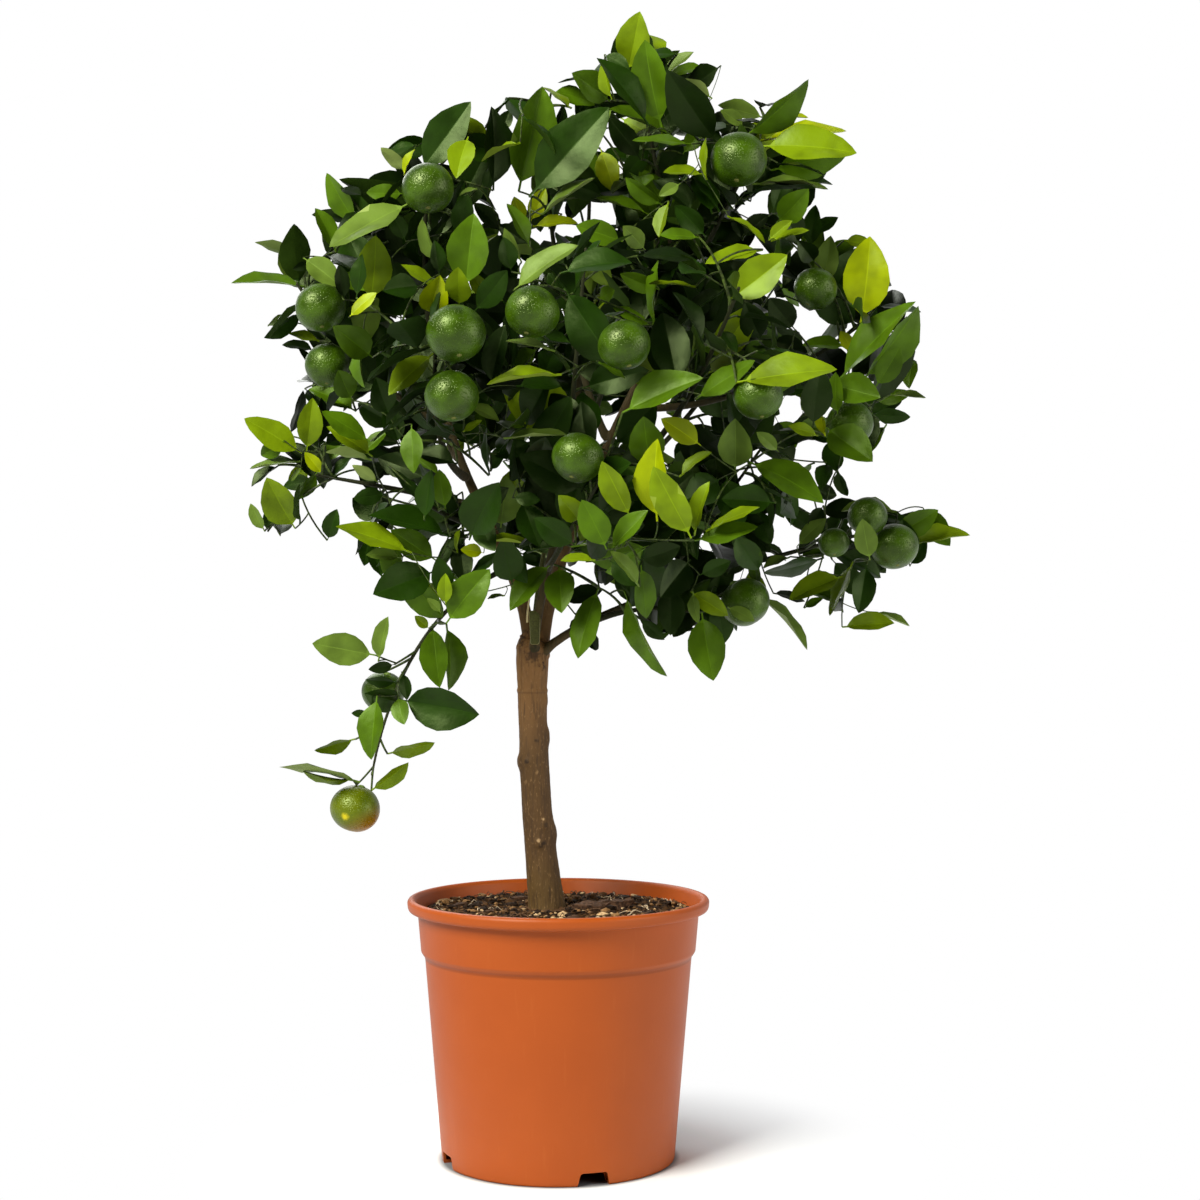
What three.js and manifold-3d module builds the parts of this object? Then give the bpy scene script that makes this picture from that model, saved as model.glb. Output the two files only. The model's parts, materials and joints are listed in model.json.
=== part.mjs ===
// A calamondin orange tree in a plastic nursery pot.
// Millimetres, +Z up. The origin is the centre of the pot's flat underside.
//
// The tree is a trunk that forks, boughs that leave the trunk or one another, and one mass of
// foliage at the end of each bough. Every mass keeps to its own space, walled off from its
// neighbours. Inside it, twigs branch from one stem by a seeded rule and bear leaves and fruits.

import * as THREE from 'three';
import { mergeVertices } from 'three/addons/utils/BufferGeometryUtils.js';
import Module from 'manifold-3d';

const wasm = await Module();
wasm.setup();

// ---------------------------------------------------------------- sizes

const GAP = 0.3; // clearance between neighbouring pieces
const WELD = 1e-4; // points of one surface closer than this are one point
const FINEST = { limb: 0.03, foliage: 0.1 }; // smaller detail is dropped where pieces are joined

const POT = {
  facets: 26,
  height: 181,
  wall: 1.8,
  rimRadius: 105,
  rimDepth: 8,
  lipRadius: 99,
  collarTopRadius: 97.8,
  collarFootRadius: 95.4,
  collarFootHeight: 147,
  stepHeight: 140.5,
  stepRadius: 92.6,
  footRadius: 80.8,
  footRingRadius: 72.5,
  padRadius: 46,
  recess: 7,
  floor: 10,
};
// The notches stand at these angles from the front, counted towards the right.
const NOTCH = { turns: [18, 111, 198, 291], width: 23.5, topWidth: 18.3, height: 9, reach: 7 };

const SOIL = { top: 173, edgeTop: 170.5, shoulder: 40, seat: 17, base: 10.3 };

const TRUNK = {
  foot: [-7.5, 2, SOIL.top + GAP],
  bend: [-20, -2, 267],
  fork: [-18, 2, 360],
  sides: 10,
  steps: 16,
  // share of the length, radius
  girth: [
    [0, 13.8], [0.04, 12.5], [0.2, 11.1], [0.4, 10.4], [0.68, 9.8],
    [0.82, 10.2], [0.92, 11.4], [0.97, 11], [1, 7.5],
  ],
  // share of the length, angle round the trunk from +X in degrees, height of the swelling
  knots: [
    [0.19, 200, 0.9], [0.54, 185, 2.2], [0.61, 5, 2], [0.82, 95, 0.8], [0.95, 180, 1.8], [0.4, 280, 1],
  ],
  knotSpan: 0.045,
};

// Radii of the twigs, the length of a leaf and what its other sizes are as shares of that.
const TWIG = {
  foot: 1.7,
  tip: 0.9,
  sides: 3,
  stemSides: 4,
  stemFoot: 0.12, // the first and the last place for a twig, as shares of the stem
  stemTop: 0.98,
  apart: 0.05, // least step between two twigs along the stem, as a share of it
  fork: 0.5, // least angle between a twig and the stem, in radians
  room: 0.6, // clearance from walls and limbs
};
const LEAF = {
  shortest: 56,
  longest: 76,
  breadth: 0.54,
  root: 1.6,
  lowShare: 0.27,
  lowBreadth: 0.43,
  highShare: 0.63,
  highBreadth: 0.46,
  keelShare: 0.4,
  keel: 0.03,
  fold: 0.1,
  droop: 0.1,
  wallRoom: 0.9, // clearance from walls and from limbs
  limbRoom: 1.2,
  rootRoom: 3, // a twig may meet a leaf this near its root
};
const FRUIT = { flattening: 0.93, facets: 8, rings: 4, room: 0.8, stalkDepth: 0.1 };

// The rule of growth: how twigs leave a stem and how leaves stand on them.
const RULE = {
  crownHeart: [30, 0, 520],
  turn: THREE.MathUtils.degToRad(137.5),
  lean: [1.2, 0.85], // of a leaf from its twig, in radians, at the twig's foot and its tip
  endLean: 0.15, // of the leaf that ends a twig
  unsteady: 0.3, // what chance adds to a lean
  askew: [0.31, 0.23, 0.92], // a direction that no twig runs in
  // where a twig or a tip's leaf may start, back from the stem's nearest point, as shares of it
  backs: [0.2, 0.1, 0.3, 0, 0.4, 0.5, -0.1, -1],
  slides: [0, 0.08, 0.16, 0.24, 0.32, 0.42, 0.52],
  rolls: [0, 0.5, -0.5, 0.9, -0.9], // turns that a tip's leaf is tried at
  shorter: [1, 0.85, 0.7, 0.55], // and its lengths, on a shoot of its own
  outward: 0.2,
  facing: { up: 0.45, out: 0.75, random: 0.45 },
  spots: 60, // places that a filling shoot chooses from
  farthest: 0.85, // and how far out they lie, as a share of the way
  firstLeaf: 0.3, // share of a twig that stays bare
  onStem: 2, // leaves straight on the stem
  // scales and turns that a leaf is tried at before it is left out
  tries: [
    [1, 0], [1, 0.7], [1, -0.7], [1, 1.4], [1, -1.4], [0.85, 0], [0.85, 1], [0.85, -1],
    [0.85, 2.1], [0.85, -2.1], [0.7, 0.4], [0.7, -0.6], [0.7, 1.8], [0.7, -2],
  ],
};

// Each row is a bough and the mass at its end. The bough leaves `from` (the trunk or another
// bough, `at` this share of its length), runs by the handles in `by`, and ends in the middle of
// the mass as its stem. `girth` is its radius at both ends.
const MASSES = {
  upper_left: {
    from: 'trunk', at: [-20, 4, 344], by: [[-18, 5, 440], [-110, 22, 465]], end: [-90, -12, 690],
    girth: [5.2, 1.4], centre: [-88, -18, 660], radii: [78, 74, 76], shoots: 5, leaves: 5,
    tips: [[-163, 0, 684], [-123, 10, 708], [-72, -4, 734], [-150, -60, 640]],
  },
  upper_right: {
    from: 'trunk', at: [-12, 4, 344], by: [[-10, 4, 425], [55, 25, 540]], end: [134, -10, 694],
    girth: [5.2, 1.4], centre: [138, -20, 670], radii: [68, 72, 76], shoots: 4, leaves: 5,
    tips: [[177, 0, 746], [204, -25, 699], [189, 20, 664]],
  },
  centre: {
    from: 'trunk', at: [-17, -6, 350], by: [[-12, -40, 430]], end: [72, -14, 640],
    girth: [3.4, 1.3], centre: [76, -12, 616], radii: [70, 66, 76], shoots: 5, leaves: 5, tips: [],
  },
  back_mid: {
    from: 'trunk', at: [-16, 9, 346], by: [[-5, 75, 430]], end: [28, 130, 620],
    girth: [5, 1.4], centre: [30, 140, 600], radii: [76, 70, 80], shoots: 4, leaves: 5,
    tips: [[30, 214, 610], [60, 190, 665]],
  },
  low_right: {
    from: 'trunk', at: [-12, -3, 350], by: [[25, -8, 388]], end: [222, 6, 436],
    girth: [3.4, 1.3], centre: [209, -10, 423], radii: [78, 64, 54], shoots: 4, leaves: 5,
    tips: [[285, 0, 433], [239, -20, 370], [262, -10, 456], [174, -30, 358]],
  },
  hanging: {
    from: 'upper_left', at: 0.32, by: [[-106, -38, 378]], end: [-126, -40, 268],
    girth: [2.7, 1.2], centre: [-117, -40, 320], radii: [70, 52, 95], shoots: 0, leaves: 3,
    tips: [[-164, -40, 357], [-51, -60, 314], [-166, -30, 284], [-85, -30, 290], [-185, -45, 279],
      [-88, -50, 276], [-116, -30, 377], [-126, -62, 283], [-62, -14, 345]],
  },
  low_left: {
    from: 'upper_left', at: 0.53, by: [[-105, -2, 464]], end: [-168, -12, 474],
    girth: [2.7, 1.2], centre: [-151, -10, 456], radii: [82, 62, 58], shoots: 4, leaves: 5,
    tips: [[-205, -10, 437], [-207, -15, 470], [-219, 0, 508], [-128, -40, 404]],
  },
  left: {
    from: 'upper_left', at: 0.76, by: [[-130, 12, 530]], end: [-182, -4, 608],
    girth: [2.9, 1.3], centre: [-162, 0, 588], radii: [58, 68, 80], shoots: 4, leaves: 5,
    tips: [[-228, 0, 611], [-205, 0, 570], [-212, 10, 638], [-184, -20, 646]],
  },
  front_left: {
    from: 'upper_left', at: 0.62, by: [[-86, -60, 480]], end: [-76, -122, 552],
    girth: [3, 1.3], centre: [-72, -100, 526], radii: [78, 74, 86], shoots: 5, leaves: 5,
    tips: [[-95, -192, 560]],
  },
  front_low_left: {
    from: 'upper_left', at: 0.46, by: [[-70, -32, 438]], end: [-92, -70, 456],
    girth: [2.6, 1.2], centre: [-84, -62, 446], radii: [64, 56, 60], shoots: 3, leaves: 4,
    tips: [[-131, -72, 396], [-70, -112, 420]],
  },
  back_left: {
    from: 'upper_left', at: 0.68, by: [[-86, 70, 490]], end: [-90, 122, 588],
    girth: [3, 1.3], centre: [-85, 110, 560], radii: [78, 72, 80], shoots: 4, leaves: 5,
    tips: [[-150, 150, 600], [-95, 190, 565]],
  },
  top: {
    from: 'upper_right', at: 0.88, by: [[80, 18, 640]], end: [56, 0, 748],
    girth: [3, 1.2], centre: [57, 0, 732], radii: [56, 56, 64], shoots: 4, leaves: 5,
    tips: [[57, 0, 796], [93, 10, 771], [10, 0, 755], [77, -35, 748]],
  },
  upper_mid: {
    from: 'upper_right', at: 0.58, by: [[-5, 22, 590]], end: [-10, -10, 708],
    girth: [2.8, 1.2], centre: [-5, -14, 680], radii: [68, 68, 72], shoots: 5, leaves: 5,
    tips: [[-13, 0, 746], [34, -60, 719], [-36, 10, 743]],
  },
  right: {
    from: 'upper_right', at: 0.66, by: [[130, 14, 515]], end: [216, -4, 584],
    girth: [3, 1.3], centre: [198, -4, 562], radii: [60, 72, 88], shoots: 5, leaves: 5,
    tips: [[246, -10, 597], [219, 0, 640], [259, 20, 531], [240, 10, 514]],
  },
  front_right: {
    from: 'upper_right', at: 0.45, by: [[78, -50, 480]], end: [118, -122, 588],
    girth: [3, 1.3], centre: [113, -106, 556], radii: [70, 68, 78], shoots: 5, leaves: 5,
    tips: [[130, -184, 575]],
  },
  front_mid: {
    from: 'centre', at: 0.62, by: [[6, -88, 470]], end: [20, -128, 612],
    girth: [2.6, 1.2], centre: [16, -112, 584], radii: [72, 72, 88], shoots: 5, leaves: 5,
    tips: [[30, -202, 600]],
  },
  front_low: {
    from: 'centre', at: 0.38, by: [[-4, -60, 412]], end: [28, -122, 462],
    girth: [2.5, 1.2], centre: [22, -108, 455], radii: [80, 60, 56], shoots: 4, leaves: 5,
    tips: [[-40, -140, 440], [40, -170, 432]],
  },
  front_low_right: {
    from: 'low_right', at: 0.62, by: [[84, -40, 412]], end: [134, -84, 486],
    girth: [2.2, 1.1], centre: [122, -76, 468], radii: [70, 66, 58], shoots: 4, leaves: 5,
    tips: [[150, -140, 450]],
  },
  bottom: {
    from: 'low_right', at: 0.36, by: [[62, -30, 388]], end: [96, -46, 378],
    girth: [2.2, 1.1], centre: [74, -40, 394], radii: [86, 62, 56], shoots: 4, leaves: 5,
    tips: [[105, -50, 334], [71, -45, 335], [10, -30, 351], [129, -10, 372]],
  },
  back_right: {
    from: 'back_mid', at: 0.55, by: [[70, 84, 480]], end: [142, 114, 590],
    girth: [3, 1.3], centre: [135, 105, 560], radii: [74, 72, 82], shoots: 4, leaves: 5,
    tips: [[200, 150, 590], [150, 182, 560]],
  },
  back_low: {
    from: 'back_mid', at: 0.4, by: [[6, 90, 425]], end: [44, 134, 470],
    girth: [2.6, 1.2], centre: [30, 118, 452], radii: [92, 68, 62], shoots: 4, leaves: 5,
    tips: [[-30, 160, 410], [90, 165, 415]],
  },
  back_top: {
    from: 'back_mid', at: 0.9, by: [[20, 100, 610]], end: [22, 66, 712],
    girth: [2.8, 1.2], centre: [20, 76, 690], radii: [70, 62, 62], shoots: 4, leaves: 5,
    tips: [[-20, 110, 735], [80, 100, 725]],
  },
};

// Centre and radius of each fruit that shows.
const FRUITS = [
  [-85, -75, 660, 17.5], [-158, -60, 583, 17], [-155, -45, 546, 15.5], [-60, -172, 552, 18.5],
  [-63, -165, 514, 16.8], [-13, -166, 566, 17], [44, -162, 546, 16.5], [121, -70, 680, 19],
  [176, -30, 600, 15], [15, -146, 477, 16.5], [129, -136, 517, 16], [198, -44, 507, 16],
  [209, -50, 444, 13.5], [186, -54, 426, 10.5], [229, -36, 424, 16.5], [-137, -40, 246, 17],
  [-121, -10, 324, 15], [127, -44, 386, 17],
  [40, 182, 570, 17], [-92, 160, 606, 17], [156, 150, 600, 17], [66, 150, 482, 16],
  [230, 40, 560, 16.5], [-196, 44, 560, 16], [-40, 150, 520, 17], [90, 46, 735, 15],
];

// ---------------------------------------------------------------- solids

/** Makes a closed geometry a solid that can be joined and cut. */
function solidOf(geometry) {
  const bare = geometry.clone();
  bare.deleteAttribute('normal');
  bare.deleteAttribute('uv');
  const welded = mergeVertices(bare, WELD);
  const corners = Array.from(welded.index.array);
  const faces = [];
  for (let i = 0; i < corners.length; i += 3) {
    const [a, b, c] = corners.slice(i, i + 3);
    if (a !== b && b !== c && c !== a) faces.push(a, b, c);
  }
  return new wasm.Manifold(new wasm.Mesh({
    numProp: 3,
    vertProperties: new Float32Array(welded.attributes.position.array),
    triVerts: new Uint32Array(faces),
  }));
}

/** Keeps the one main body of a solid: loose scraps are dropped and sealed hollows are filled. */
function mainBody(solid, finest = FINEST.limb) {
  const largest = (whole) => (
    whole.decompose().reduce((best, body) => (body.volume() > best.volume() ? body : best)));
  return largest(largest(solid).asOriginal().setTolerance(finest));
}

/** Makes a named mesh of a solid. */
function meshOf(name, solid, material) {
  const { vertProperties, triVerts } = solid.getMesh();
  const geometry = new THREE.BufferGeometry();
  geometry.setAttribute('position', new THREE.BufferAttribute(vertProperties, 3));
  geometry.setIndex(new THREE.BufferAttribute(triVerts, 1));
  geometry.computeVertexNormals();
  const mesh = new THREE.Mesh(geometry, material);
  mesh.name = name;
  return mesh;
}

/** Turns a profile of [radius, height] points round the Z axis. */
function turned(profile, facets) {
  const points = profile.map(([radius, height]) => new THREE.Vector2(radius, height));
  return new THREE.LatheGeometry(points, facets).rotateX(Math.PI / 2);
}

/** Bends a cylinder along a curve. radiusAt(share, angle) is its radius there. */
function limbGeometry(curve, radiusAt, sides, steps) {
  const frames = curve.computeFrenetFrames(steps, false);
  const limb = new THREE.CylinderGeometry(1, 1, 1, sides, steps);
  const places = limb.attributes.position;
  for (let i = 0; i < places.count; i += 1) {
    const ring = Math.round((places.getY(i) + 0.5) * steps);
    const share = ring / steps;
    const offset = new THREE.Vector3()
      .addScaledVector(frames.normals[ring], places.getX(i))
      .addScaledVector(frames.binormals[ring], -places.getZ(i));
    const radius = radiusAt(share, Math.atan2(offset.y, offset.x));
    const place = curve.getPointAt(share).addScaledVector(offset, radius);
    places.setXYZ(i, place.x, place.y, place.z);
  }
  return limb;
}

// ---------------------------------------------------------------- pot, soil, trunk

/** The pot: rim, collar, tapering wall and a foot with drainage notches. */
function makePot() {
  const p = POT;
  const inner = (radius) => radius - p.wall;
  const profile = [
    [0, 0],
    [p.padRadius, 0],
    [p.padRadius + 2.5, p.recess],
    [p.footRingRadius - 2, p.recess],
    [p.footRingRadius, 0],
    [p.footRadius, 0],
    [p.stepRadius, p.stepHeight],
    [p.collarFootRadius, p.collarFootHeight],
    [p.collarTopRadius, p.height - p.rimDepth - 1],
    [p.rimRadius - 1.5, p.height - p.rimDepth],
    [p.rimRadius, p.height - p.rimDepth + 3],
    [p.rimRadius - 1, p.height - 1],
    [p.rimRadius - 4, p.height],
    [p.lipRadius, p.height - 2.5],
    [inner(p.collarTopRadius), p.height - p.rimDepth - 2],
    [inner(p.collarFootRadius), p.collarFootHeight],
    [inner(p.stepRadius), p.stepHeight],
    [inner(p.footRadius), 2],
    [p.footRingRadius + 1.8, 2],
    [p.footRingRadius - 1.2, p.floor],
    [p.padRadius + 1, p.floor],
    [p.padRadius - 2, 2],
    [0, 2],
  ];
  let pot = solidOf(turned(profile, p.facets));
  for (const turn of NOTCH.turns) {
    const outline = new THREE.Shape([
      new THREE.Vector2(-NOTCH.width / 2 - 1, -1),
      new THREE.Vector2(NOTCH.width / 2 + 1, -1),
      new THREE.Vector2(NOTCH.topWidth / 2, NOTCH.height),
      new THREE.Vector2(-NOTCH.topWidth / 2, NOTCH.height),
    ]);
    const cutter = new THREE.ExtrudeGeometry(outline, { depth: 2 * NOTCH.reach, bevelEnabled: false });
    cutter.rotateX(Math.PI / 2);
    cutter.translate(0, NOTCH.reach - (p.footRadius + p.footRingRadius) / 2, 0);
    cutter.rotateZ(THREE.MathUtils.degToRad(turn));
    pot = pot.subtract(solidOf(cutter));
  }
  return mainBody(pot);
}

/** The potting soil: it fills the pot to below the rim and rises a little to the trunk. */
function makeSoil() {
  const p = POT;
  const fit = p.wall + 2 * GAP;
  const taper = (p.stepRadius - p.footRadius) / p.stepHeight;
  const flare = (p.collarTopRadius - p.collarFootRadius) / (p.height - p.rimDepth - p.collarFootHeight);
  const edgeRadius = p.collarFootRadius + flare * (SOIL.edgeTop - p.collarFootHeight) - fit;
  const profile = [
    [0, SOIL.base],
    [p.footRadius + taper * SOIL.base - fit, SOIL.base],
    [p.stepRadius - fit, p.stepHeight],
    [edgeRadius, SOIL.edgeTop],
    [SOIL.shoulder, SOIL.top - 0.8],
    [SOIL.seat + 9, SOIL.top],
    [0, SOIL.top],
  ];
  return solidOf(turned(profile, p.facets));
}

/** The trunk's radius at a share of its length, without its knots. */
function trunkRadius(share) {
  const next = TRUNK.girth.findIndex(([at]) => at >= share);
  if (next <= 0) return TRUNK.girth[0][1];
  const [[fromAt, fromRadius], [toAt, toRadius]] = TRUNK.girth.slice(next - 1, next + 1);
  return THREE.MathUtils.mapLinear(share, fromAt, toAt, fromRadius, toRadius);
}

/** What the knots add to the trunk's radius at a share of its length and an angle. */
function knotHeight(share, angle) {
  return TRUNK.knots.reduce((height, [at, degrees, swell]) => {
    const around = Math.cos(angle - THREE.MathUtils.degToRad(degrees));
    const along = (share - at) / TRUNK.knotSpan;
    return height + swell * Math.exp(-along * along) * Math.max(0, around) ** 3;
  }, 0);
}

const trunkCurve = new THREE.QuadraticBezierCurve3(
  new THREE.Vector3(...TRUNK.foot),
  new THREE.Vector3(...TRUNK.bend),
  new THREE.Vector3(...TRUNK.fork),
);

/** The trunk, or with extra the space that other pieces leave round it. */
function makeTrunk(extra = 0) {
  const radiusAt = (share, angle) => trunkRadius(share) + knotHeight(share, angle) + extra;
  const bark = solidOf(limbGeometry(trunkCurve, radiusAt, TRUNK.sides, TRUNK.steps));
  const ground = new THREE.BoxGeometry(80, 80, 20).translate(...TRUNK.foot).translate(0, 0, -10 - extra);
  return bark.subtract(solidOf(ground));
}

// ---------------------------------------------------------------- boughs

/** A cubic curve that can be shortened exactly. */
class Limb extends THREE.CubicBezierCurve3 {
  /** The point that mixes three positions along the curve. */
  blossom(a, b, c) {
    const [p, q, r, s] = [this.v0, this.v1, this.v2, this.v3];
    const mix = (from, to, share) => from.clone().lerp(to, share);
    const first = [mix(p, q, a), mix(q, r, a), mix(r, s, a)];
    const second = [mix(first[0], first[1], b), mix(first[1], first[2], b)];
    return mix(second[0], second[1], c);
  }

  /** The stretch of this curve between two shares of it. */
  stretch(from, to) {
    const [f, t] = [from, to];
    return new Limb(
      this.blossom(f, f, f), this.blossom(f, f, t), this.blossom(f, t, t), this.blossom(t, t, t),
    );
  }
}

/** The curve of a bough from its start by one or two handles to its end. */
function limbBy(start, handles, end) {
  const points = handles.map((handle) => new THREE.Vector3(...handle));
  if (points.length === 2) return new Limb(start, points[0], points[1], end);
  const [handle] = points;
  return new Limb(
    start, start.clone().lerp(handle, 2 / 3), end.clone().lerp(handle, 2 / 3), end,
  );
}

/** The walls and the ellipsoid of one mass of foliage. */
class Space {
  constructor(name) {
    const row = MASSES[name];
    this.centre = new THREE.Vector3(...row.centre);
    this.radii = new THREE.Vector3(...row.radii);
    this.walls = Object.keys(MASSES).filter((other) => other !== name).map((other) => {
      const away = new THREE.Vector3(...MASSES[other].centre).sub(this.centre);
      const distance = away.length();
      const bias = Space.size(name) ** 2 - Space.size(other) ** 2;
      return { normal: away.divideScalar(distance), offset: (distance ** 2 + bias) / (2 * distance) };
    });
  }

  /** The mean radius of a mass. */
  static size(name) {
    return MASSES[name].radii.reduce((sum, radius) => sum + radius, 0) / 3;
  }

  /** The name of the mass whose walls hold a point. */
  static holding(point) {
    const power = (name) => point.distanceToSquared(new THREE.Vector3(...MASSES[name].centre))
      - Space.size(name) ** 2;
    return Object.keys(MASSES).reduce((best, name) => (power(name) < power(best) ? name : best));
  }

  /** The distance from a point to the nearest wall, negative outside. */
  wallRoom(point) {
    const place = point.clone().sub(this.centre);
    return Math.min(...this.walls.map(({ normal, offset }) => offset - normal.dot(place)));
  }

  /** Whether a point is inside both the walls and the ellipsoid. */
  holds(point, room) {
    return point.clone().sub(this.centre).divide(this.radii).length() <= 1 && this.wallRoom(point) >= room;
  }

  /** How far the crown goes on from the middle of the mass, within its walls. */
  reach(way) {
    let distance = 0;
    let point = this.centre.clone();
    while (Space.inCrown(point) && this.wallRoom(point) > TWIG.foot) {
      distance += 2;
      point = this.centre.clone().addScaledVector(way, distance);
    }
    return distance;
  }

  /** Whether a point is inside the ellipsoid of any mass. */
  static inCrown({ x, y, z }) {
    return Object.values(MASSES).some(({ centre, radii }) => (
      Math.hypot((x - centre[0]) / radii[0], (y - centre[1]) / radii[1], (z - centre[2]) / radii[2]) <= 1));
  }
}

const STRIDE = 0.01; // finest step along a curve, as a share of it
const BARE = 0.24; // the least share of a bough that stays outside its mass
const BOUGH = { sides: 5, step: 48 }; // sides of a bough, and the longest step along it

/** Lays out every bough: its whole curve, its space and where it enters that. */
function layOutBoughs() {
  const boughs = {};
  for (const [name, row] of Object.entries(MASSES)) {
    const parent = boughs[row.from];
    const start = parent ? parent.curve.getPoint(row.at * parent.enters) : new THREE.Vector3(...row.at);
    const curve = limbBy(start, row.by, new THREE.Vector3(...row.end));
    const space = new Space(name);
    let enters = BARE;
    while (!space.holds(curve.getPoint(enters), TWIG.foot)) enters += STRIDE;
    boughs[name] = { name, row, curve, space, enters };
  }
  return boughs;
}

/** The radius of a bough and its stem at a share of its whole curve. */
function boughRadius(row, share) {
  return THREE.MathUtils.lerp(row.girth[0], row.girth[1], share);
}

/** The solid of a stretch of a bough, with its skin moved out by extra. */
function boughSolid({ row, curve }, from, to, sides, extra = 0) {
  const steps = Math.ceil((curve.getLength() * (to - from)) / BOUGH.step);
  const radiusAt = (share) => boughRadius(row, THREE.MathUtils.lerp(from, to, share)) + extra;
  return solidOf(limbGeometry(curve.stretch(from, to), radiusAt, sides, steps));
}

/** Points along the trunk and every bough, each with the radius there. */
function limbSamples(boughs) {
  const samples = [];
  for (let share = 0; share <= 1; share += 4 * STRIDE) {
    samples.push({ point: trunkCurve.getPoint(share), radius: trunkRadius(share) });
  }
  for (const { row, curve, enters } of Object.values(boughs)) {
    const count = Math.ceil((curve.getLength() * enters) / 4);
    for (let i = 0; i <= count; i += 1) {
      const share = (i / count) * enters;
      samples.push({ point: curve.getPoint(share), radius: boughRadius(row, share) });
    }
  }
  return samples;
}

// ---------------------------------------------------------------- growth

/** Numbers from 0 to 1 that are the same each time for one seed. */
function seeded(seed) {
  let state = seed >>> 0;
  return () => {
    state = (state + 0x6d2b79f5) >>> 0;
    let t = state;
    t = Math.imul(t ^ (t >>> 15), t | 1);
    t ^= t + Math.imul(t ^ (t >>> 7), t | 61);
    return ((t ^ (t >>> 14)) >>> 0) / 4294967296;
  };
}

/** The corners of a leaf: root, two on each side, tip, and the keel under its middle. */
function leafCorners({ root, along, up, length }) {
  const side = along.clone().cross(up);
  const at = (share, breadth, rise) => root.clone()
    .addScaledVector(along, share * length)
    .addScaledVector(side, breadth * LEAF.breadth * length)
    .addScaledVector(up, rise * length);
  const { lowShare, lowBreadth, highShare, highBreadth, keelShare, keel, fold, droop } = LEAF;
  const rise = (share) => fold * Math.min(1, 4 * share * (1 - share)) - droop * share * share;
  return {
    root,
    left: [at(lowShare, lowBreadth, rise(lowShare)), at(highShare, highBreadth, rise(highShare))],
    right: [at(lowShare, -lowBreadth, rise(lowShare)), at(highShare, -highBreadth, rise(highShare))],
    tip: at(1, 0, rise(1)),
    keel: at(keelShare, 0, rise(keelShare) - keel),
  };
}

/** The four triangles of a leaf's upper side. */
function leafTriangles({ root, left, right, tip }) {
  return [
    new THREE.Triangle(root, left[0], right[0]),
    new THREE.Triangle(left[0], left[1], right[0]),
    new THREE.Triangle(right[0], left[1], right[1]),
    new THREE.Triangle(left[1], tip, right[1]),
  ];
}

/** A leaf's closed geometry: flat above, keeled below, with an upright edge for its root. */
function leafGeometry(leaf) {
  const { root, left, right, tip, keel } = leaf.corners;
  const top = root.clone().addScaledVector(leaf.up, LEAF.root / 2);
  const under = root.clone().addScaledVector(leaf.up, -LEAF.root / 2);
  const rim = [under, left[0], left[1], tip, right[1], right[0], under];
  const faces = [top, under, left[0], top, right[0], under];
  for (const { a, b, c } of leafTriangles({ root: top, left, right, tip })) faces.push(a, b, c);
  for (let i = 0; i + 1 < rim.length; i += 1) faces.push(keel, rim[i + 1], rim[i]);
  return new THREE.BufferGeometry().setFromPoints(faces);
}

/** Whether an edge of one triangle goes through the other. */
function pierces(triangle, other) {
  const corners = [triangle.a, triangle.b, triangle.c];
  return corners.some((from, i) => {
    const to = corners[(i + 1) % 3];
    const ray = new THREE.Ray(from, to.clone().sub(from).normalize());
    const hit = ray.intersectTriangle(other.a, other.b, other.c, false, new THREE.Vector3());
    return hit !== null && hit.distanceTo(from) < to.distanceTo(from);
  });
}

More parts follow.
